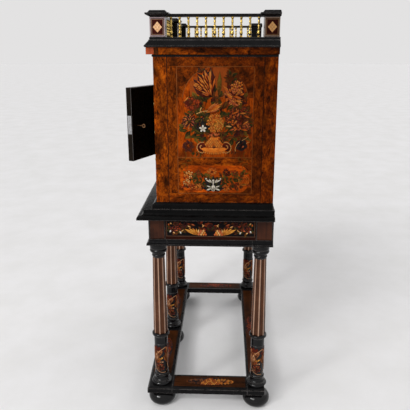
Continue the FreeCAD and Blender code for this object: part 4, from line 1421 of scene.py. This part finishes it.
def build_frieze_ends():
    """Where the frieze's front board runs through, its end shows as a lighter block beside a dark strip."""
    low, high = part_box("frieze")
    front, bottom, top = low.y / mm, low.z / mm + frieze_inset, high.z / mm - frieze_inset
    for side, sign in sides:
        sheets = []
        for part, place, rise, finish in (("block", end_grain, 0.7, "frieze_end"),
                                          ("strip", dark_strip, 0.5, "burr_dark")):
            near, far = sorted(sign * (front + inward) for inward in place)
            sheets.append(sheet_of(part, near, far, bottom, top, rise, finish))
        frieze_end = joined_sheets(f"{side}_frieze_end", sheets)
        lay_on(frieze_end, face_of("frieze", side), "cabinet")


build_post_inlays()
build_frieze_ends()


# Apron

apron_panel_low = 834
apron_panel_high = 902
apron_inset = 1
apron_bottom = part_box("apron_front")[0].z / mm + apron_inset
apron_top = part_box("apron_front")[1].z / mm - apron_inset
apron_margin = 3
# where the panel, the blocks and the middle of the horns lie: along an end, and outwards along the front
end_panel, end_blocks, end_horns = (-201, 168), ((-273, -205), (172, 243)), -17
front_panel, front_blocks, front_horns = (42, 466), ((2, 38), (470, 544)), 254


def horn_flowers():
    """Two lying horns of golden leaves with pale curls at their tails, and flowers beyond them."""
    panel = Panel(41)
    middle = (apron_panel_low + apron_panel_high) / 2
    for side in (-1, 1):
        panel.thicket(side * 46, middle + 16, 44, 12, 22, ("plum", "brown", "maroon", "russet"), 20)
        panel.thicket(side * 136, middle + 2, 36, 24, 26, ("green", "brown", "green", "plum"), 18)
        panel.spray(side * 92, middle - 16, side * 70, 78, side * 30, "brown", 15, "green", 4)
        # the horn: one long smooth leaf, shorter ones above it, and scales at its mouth
        for turn, length, width, wood in ((-30, 26, 6, "straw"), (-8, 28, 6, "cream"), (14, 31, 6, "gold"),
                                          (34, 38, 7, "straw"), (50, 50, 9, "gold"), (64, 62, 12, "gold")):
            panel.petal("blade", side * 52, middle - 27, side * turn, length, width, wood, "brown", 1)
        for row in range(3):
            for n in range(4 - row):
                across, wood = 20 + 9 * n + 5 * row, ("rose", "straw", "cream")[(n + row) % 3]
                panel.petal("petal", side * across, middle - 17 + 8 * row, side * (188 - 6 * n), 11, 9, wood,
                            "plum")
        panel.stem(side * 112, middle - 2, side * 150, 22, side * -80, "cream", 3.6, 5)
        for across, up, turn, length, wood in (
                (26, 10, 34, 16, "cream"), (34, 8, -36, 14, "cream"), (80, 6, 60, 18, "cream"),
                (64, 16, 70, 18, "rose"), (12, 14, 80, 14, "russet")):
            panel.petal("blade", side * across, middle + up, side * turn, length, 5, wood, "plum")
        for across, up, size, woods in (
                (128, 10, 15, ("plum", "russet", "brown")), (156, -2, 12, ("russet", "plum")),
                (146, 22, 9, ("brown", "russet")), (104, 20, 10, ("maroon", "plum"))):
            panel.ragged(side * across, middle + up, size, size, 20, woods, "ink", 0.7, 0.36)
        for across, up, turn, wood in (
                (122, -22, 20, "bone"), (170, -16, -30, "bone"), (146, -20, 60, "cream"),
                (172, 12, 10, "orange"), (160, 20, 50, "cream"), (134, -8, 80, "rose")):
            panel.petal("petal", side * across, middle + up, side * turn, 11, 6, wood, "ink")
    panel.fan("lobed", 0, middle - 10, 0, 34, 60, 5, 12, ("maroon", "green"), "ink")
    panel.ragged(0, middle + 12, 11, 10, 18, ("maroon", "plum"), "ink", 0.7, 0.36)
    return panel


def apron_sheets(left, right, blocks):
    """The veneers of one stretch of apron: a dark ground with its lines, and blocks between dark strips."""
    line, line_rise, foot_strip = 1.8, 1.0, 6
    block_inset, edge_inset, edge_half = 5, 2, 1.6
    low = apron_panel_low + line
    foot, head = apron_bottom + apron_margin, apron_top - apron_margin
    sheets = [sheet_of("ground", left, right, apron_panel_low, apron_panel_high, veneer, "ink"),
              sheet_of("strip", left, right, foot, foot + foot_strip, 0.8, "plum"),
              sheet_of("line", left, right, low - line / 2, low + line / 2, line_rise, "faded"),
              sheet_of("line", left, right, apron_panel_high - line, apron_panel_high, line_rise, "brown")]
    for at in (left + line, right - line):
        sheets.append(sheet_of("line", at - line / 2, at + line / 2, low, apron_panel_high, line_rise,
                               "faded"))
    for near, far in blocks:
        sheets.append(sheet_of("block", near + block_inset, far - block_inset, foot, head, 1.4,
                               "rosewood_upright"))
        for edge in (near + edge_inset, far - edge_inset):
            sheets.append(sheet_of("strip", edge - edge_half, edge + edge_half, apron_bottom, apron_top, 1.8,
                                   "ebonised"))
    return sheets


def dress_apron(name, face, sign, panel, blocks, horns, horns_middle):
    """Veneers and horns on one stretch of apron; a sign of -1 turns its places round."""
    ends, *block_ends = (sorted(sign * at for at in pair) for pair in (panel, *blocks))
    veneers = joined_sheets(f"{name}_apron_veneers", apron_sheets(*ends, block_ends))
    lay_on(veneers, face, "cabinet")
    beside = face @ Matrix.Translation((sign * horns_middle, 0, 0))
    lay_copy(horns, f"{name}_apron_flowers", beside, "cabinet")


def build_aprons():
    horns = inlaid("horn_flowers", horn_flowers(), above_veneer)
    for side, sign in sides:
        dress_apron(side, face_of(f"apron_{side}", side), sign, end_panel, end_blocks, horns, end_horns)
    front = face_of("apron_front", "front")
    for side, sign in sides:
        dress_apron(f"front_{side}", front, sign, front_panel, front_blocks, horns, front_horns)
    drop(horns)


build_aprons()


# Base frame

column_side = 0.508


def cartouche(seed, pale, deep):
    """A long ornament on a dark oval: a mound of scales between scrolls of a pale and of a deep wood."""
    panel = Panel(seed)
    length, width = 214, 56
    panel.lay("button", 0, -width / 2, 0, width, length, "ink")
    for side, woods in ((-1, deep), (1, pale)):
        for turn, bend, reach in ((62, 50, 92), (118, -50, 92)):
            panel.spray(side * 8, 0, side * turn, reach, side * bend, woods[0], 14, woods[1], 6)
        for n, (across, up, turn, size) in enumerate((
                (36, 8, 90, 24), (52, -10, -70, 22), (62, 11, 120, 18), (76, -3, 90, 21), (92, 4, -60, 16))):
            panel.scroll(side * across, up, side * turn, size, woods[n % 2], side > 0)
    scale, scale_length, lift = 9, 14, 7.5
    for row, half_width in enumerate((36, 33, 28, 22, 15, 8)):
        count = round(2 * half_width / scale)
        for n in range(count + 1):
            aside = (2 * n / count - 1) * half_width
            panel.petal("petal", aside, scale_length - 26 + lift * row, 180 - aside * 0.6, scale_length,
                        scale, panel.draw.choice(pale), "ink", 1)
    return panel


def build_base_panels():
    """Veneered panels let into the tops of the stretchers, each with an ornament in its middle."""
    bright = inlaid("cartouche", cartouche(51, ("gold", "straw", "amber"), ("umber", "brown")), base=1.0)
    # a copy in darker woods, as painted shade on the ornaments of the left, front and back stretchers
    shaded_ornament = inlaid("painted_shade_cartouche", cartouche(52, ("russet", "brown"), ("brown", "russet")), base=1.0)
    bay = column_side / 2
    # each panel: its board, its middle along the front, which way it runs, half its length and width, and
    # its ornament, bright or in painted shade
    panels = {
        "right_stretcher": ("stretcher_right", column_side, (0, 1, 0), 165, 37, bright),
        "left_stretcher": ("stretcher_left", -column_side, (0, -1, 0), 165, 37, shaded_ornament),
        "front_left_stretcher": ("stretcher_front", -bay, (1, 0, 0), 192, 42, shaded_ornament),
        "front_right_stretcher": ("stretcher_front", bay, (1, 0, 0), 192, 42, shaded_ornament),
        "back_stretcher": ("stretcher_back", 0, (-1, 0, 0), 442, 28, shaded_ornament),
    }
    inset, line, line_rise = 5, 1.5, 0.9
    for name, (board, across, right, half_length, half_width, ornament) in panels.items():
        low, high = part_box(board)
        back = Vector((0, 0, 1)).cross(Vector(right))
        face = face_at((across, (low.y + high.y) / 2, high.z), right, back)
        grain = "stretcher_long" if right[0] else "stretcher_cross"
        sheets = [sheet_of("ground", -half_length, half_length, -half_width, half_width, veneer, grain)]
        line_end, line_side = half_length - inset, half_width - inset
        sheets += framed_lines(-line_end, line_end, -line_side, line_side, line, line_rise, "brown")
        lay_on(joined_sheets(f"{name}_panel", sheets), face, "cabinet")
        lay_copy(ornament, f"{name}_cartouche", face, "cabinet")
    drop(bright)
    drop(shaded_ornament)


build_base_panels()


# Inlay round the drums of the columns

def drum_flowers():
    """A plume that climbs beside a flower, over a pale garland, three times round the drum."""
    panel = Panel(61)
    pitch = math.tau * drum_radius / mm / 3
    for n in range(3):
        middle = (n - 1) * pitch
        panel.fan("petal", middle - 16, 92, -4, 60, 34, 5, 17, ("plum", "umber", "plum"), "plum", 1)
        panel.fan("blade", middle - 22, 56, -8, 66, 26, 7, 12, ("umber", "brown", "umber"), "brown", 1)
        panel.ragged(middle - 1, 46, 20, 19, 38, ("plum", "umber", "brown", "russet"), "ink", 0.6, 0.3)
        # the plume: broad feathers up its stalk, and narrow ones that curl over to the right
        for across, up, turn, length, width, wood in (
                (-24, 58, -6, 44, 14, "umber"), (-20, 76, 6, 40, 13, "tan"), (-19, 96, 14, 34, 11, "umber"),
                (-15, 78, 58, 30, 9, "gold"), (-13, 68, 82, 26, 8, "tan"), (-18, 62, 40, 26, 8, "amber"),
                (-14, 98, 48, 24, 7, "umber")):
            panel.petal("petal", middle + across, up, turn, length, width, wood, "ink", 1)
        panel.stem(middle - 13, 118, 40, 44, 34, "tan", 3.4, 6)
        # the garland that hangs beside the plume and swings under the flower
        panel.stem(middle - 30, 124, 180, 62, 0, "faded", 2.4, 5)
        panel.stem(middle - 30, 62, 177, 76, -98, "tan", 1.8, 9)
        panel.stem(middle + 24, 22, 62, 26, -20, "faded", 2.2, 4)
        panel.stem(middle - 20, 60, 60, 40, 60, "ink", 2.4, 5)
    return panel


def rolled(piece, radius, height):
    """Rolls a flat piece round an upright drum: along becomes round, and out becomes away from the axis."""
    for point in piece.data.vertices:
        across, up, out = point.co
        turn = across / radius
        reach = (radius + out) * mm
        point.co = (reach * math.cos(turn), reach * math.sin(turn), up * mm + height)
    piece.data.update()
    return piece


def build_drum_inlays():
    model = rolled(inlaid("drum_flowers", drum_flowers(), base=0.75), drum_radius / mm, base_height)
    for column in columns:
        piece = copy_at(model, f"{column}_drum_inlay", foot_of(column))
        finish_piece(piece, None, "cabinet")
    drop(model)


build_drum_inlays()


# Door and drawer fronts

crossband = 13
front_line = 2.0
door_half = 210
door_thickness = 26
door_edge = 3
knob_half = 9


def framed_front(half_width, low, high, ground):
    """A veneered front: cross bands round it, a pale line, and its ground."""
    inner = half_width - crossband
    sheets = [sheet_of("ground", -inner, inner, low + crossband, high - crossband, veneer, ground)]
    for at in (-half_width, inner):
        sheets.append(sheet_of("band", at, at + crossband, low, high, veneer, "rosewood_long"))
    for at in (low, high - crossband):
        sheets.append(sheet_of("band", -inner, inner, at, at + crossband, veneer, "rosewood_upright"))
    sheets += framed_lines(-inner, inner, low + crossband, high - crossband, front_line, string_rise,
                           "string")
    return sheets


def drawer_sprays(half_width, middle, height, pull_places):
    """Sprays of flowers that leave each pull on both sides."""
    panel = Panel(71)
    reach, longest = half_width - crossband - 14, 118
    rings = ((12, 1.0, 0.34), (9, 0.7, 0.3), (6, 0.44, 0.28))
    for pull in pull_places:
        for side in (-1, 1):
            room = min(reach - abs(pull) if side * pull > 0 else reach, longest)
            panel.thicket(pull + side * room * 0.6, middle, room * 0.34, height * 0.24, 16,
                          ("green", "olive", "brown"), 18)
            foot = pull + side * 16
            panel.spray(foot, middle - 2, side * 78, room * 0.86, side * 24, "olive", 20, "green", 5)
            panel.spray(foot, middle + 2, side * 104, room * 0.7, side * -30, "brown", 16, "olive", 4)
            for share, lift, size, woods in ((0.36, 0.08, 0.15, ("orange", "straw", "gold")),
                                             (0.64, -0.06, 0.17, ("russet", "rose", "straw")),
                                             (0.9, 0.06, 0.13, ("straw", "orange", "russet"))):
                panel.bloom(pull + side * room * share, middle + height * lift, height * size, rings, woods,
                            0, "plum", "plum", 1)
        panel.fan("petal", pull, middle, 0, height * 0.2, 160, 12, 6, ("straw", "orange"), "plum", 1)
    return panel


def build_drawer_fronts():
    """One model for each size of drawer, laid on every drawer of that size."""
    models = {}
    for drawer in drawers:
        low, high = (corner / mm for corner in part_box(drawer))
        pull_low, pull_high = (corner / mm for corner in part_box(f"{drawer}_pull"))
        half_width = (high.x - low.x) / 2
        height = high.z - low.z
        size = (round(half_width), round(height))
        if size not in models:
            half_pull = (pull_high.x - pull_low.x) / 2
            pull_places = (knob_half - half_pull, half_pull - knob_half) if half_pull > height else (0,)
            front = framed_front(half_width, 0.0, height, "burr_front")
            sprays = drawer_sprays(half_width, height / 2, height, pull_places)
            models[size] = (joined_sheets("drawer_veneers", front),
                            inlaid("drawer_flowers", sprays, above_veneer))
        corner = Vector(((low.x + high.x) / 2, low.y, low.z)) * mm
        face = face_at(corner, (1, 0, 0), (0, 0, 1))
        for model, part in zip(models[size], ("veneers", "flowers")):
            lay_copy(model, f"{drawer}_{part}", face, drawer)
    for pair in models.values():
        for model in pair:
            drop(model)


def build_case_edge():
    """A strip of veneer on the front edge of the case's top, above the upper drawer."""
    low, high = (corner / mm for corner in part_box("case_top"))
    strip = sheet_of("case_edge_veneer", low.x, high.x, low.z, end_top, veneer, "burr_front")
    lay_on(strip, face_of("case_top", "front"), "cabinet")


def door_face(out_share):
    """The frame of the door's outside (0) or inside (1), turned with the door as it stands open at rest."""
    swing = next(joint for joint in frame["joints"] if joint["name"] == "door_swing")
    opening = Matrix.Rotation(math.radians(swing["range_deg"][0]), 3, "Z")
    hinge = Vector((*swing["pos_m"][:2], 0))
    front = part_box("case_bottom")[0].y + out_share * door_thickness * mm
    place = opening @ (Vector((0, front, 0)) - hinge) + hinge
    facing = -1 if out_share else 1
    return face_at(place, opening @ Vector((facing, 0, 0)), (0, 0, 1))


def build_door_faces():
    """Outside, a framed burr front with a smaller bouquet; inside, pale lines of painted highlight along the
    arrises of its edges.
    """
    low, high = (corner.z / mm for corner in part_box("door_panel"))
    veneers = joined_sheets("door_veneers", framed_front(door_half - door_edge, low, high, "burr_front"))
    lay_on(veneers, door_face(0), "door")
    bouquet_middle, share = 1348, 0.76
    flowers = copy_at(bouquet, "door_flowers")
    centred = Matrix.Translation((0, (low + high) / 2 - bouquet_middle * share, 0))
    flowers.data.transform(centred @ Matrix.Diagonal((share, share, 1, 1)))
    lay_on(flowers, door_face(0), "door")
    # pale strips of painted highlight along the inside's free edge and its top
    line, side_line, rise = 2.6, 1.82, 0.4
    free_edge = -door_half
    sheen = [sheet_of("line", free_edge, free_edge + side_line, low, high, rise, "sheen"),
              sheet_of("line", free_edge + line, door_half, high - line, high, rise, "sheen")]
    lay_on(joined_sheets("door_painted_arris_highlights", sheen), door_face(1), "door")


build_case_edge()
build_drawer_fronts()
build_door_faces()
drop(bouquet)


# Camera, light and floor

def add_camera():
    data = bpy.data.cameras.new("camera")
    data.sensor_width = sensor_width
    data.lens = focal_pixels * sensor_width / photo_pixels
    camera = bpy.data.objects.new("camera", data)
    forward = camera_forward.normalized()
    right = forward.cross(Vector((0, 0, 1))).normalized()
    camera.matrix_world = Matrix.Translation(camera_place) @ Matrix(
        (right, right.cross(forward), -forward)).transposed().to_4x4()
    bpy.context.scene.collection.objects.link(camera)
    bpy.context.scene.camera = camera


def add_broad_light(name, toward, width_degrees, strength):
    """Soft light from one side of the room, even over the whole floor."""
    data = bpy.data.lights.new(name, "SUN")
    data.angle = math.radians(width_degrees)
    data.energy = strength
    lamp = bpy.data.objects.new(name, data)
    lamp.rotation_euler = Vector(toward).to_track_quat("Z", "Y").to_euler()
    bpy.context.scene.collection.objects.link(lamp)


def add_softbox(name, place, aim, width, power):
    data = bpy.data.lights.new(name, "AREA")
    data.shape = "SQUARE"
    data.size = width
    data.energy = power
    lamp = bpy.data.objects.new(name, data)
    lamp.location = place
    lamp.rotation_euler = (Vector(place) - Vector(aim)).to_track_quat("Z", "Y").to_euler()
    bpy.context.scene.collection.objects.link(lamp)


def add_world():
    world = bpy.data.worlds.new("studio")
    bpy.context.scene.world = world
    world.use_nodes = True
    tree = world.node_tree
    around = tree.nodes["Background"].inputs
    rays = tree.nodes.new("ShaderNodeLightPath").outputs
    seen = sums(tree, "MAXIMUM", rays["Is Camera Ray"], rays["Is Glossy Ray"])
    seen = sums(tree, "MAXIMUM", seen, rays["Is Transmission Ray"])
    fill(tree, around["Color"], mixed(tree, seen, room_colour, backdrop_colour))
    around["Strength"].default_value = 1.0


def add_floor():
    finish, tree, shader, place = new_finish("pale_floor")
    cloud = spread(tree, noise(tree, place, 3.0, 5.0, 0.6), 0.35, 0.65)
    fill(tree, shader["Base Color"], mixed(tree, cloud, stain(226, 225, 224), stain(232, 231, 231)))
    shader["Roughness"].default_value = 0.7
    shader["Specular IOR Level"].default_value = 0.2
    bpy.ops.object.select_all(action="DESELECT")
    bpy.ops.mesh.primitive_circle_add(vertices=64, radius=floor_radius, fill_type="NGON")
    floor = bpy.context.object
    floor.name = "floor"
    floor.data.materials.append(finish)


room_colour = stain(213, 213, 214)
backdrop_colour = stain(227, 226, 226)
add_camera()
add_broad_light("key_light", toward=(0.66, -0.42, 0.62), width_degrees=26, strength=1.15)
add_softbox("near_softbox", place=(2.3, -1.9, 2.1), aim=(0.5, 0.0, 1.1), width=0.45, power=22)
add_broad_light("back_light", toward=(-0.55, 0.62, 0.56), width_degrees=40, strength=0.5)
add_world()
add_floor()
bpy.context.scene.view_settings.view_transform = "Standard"
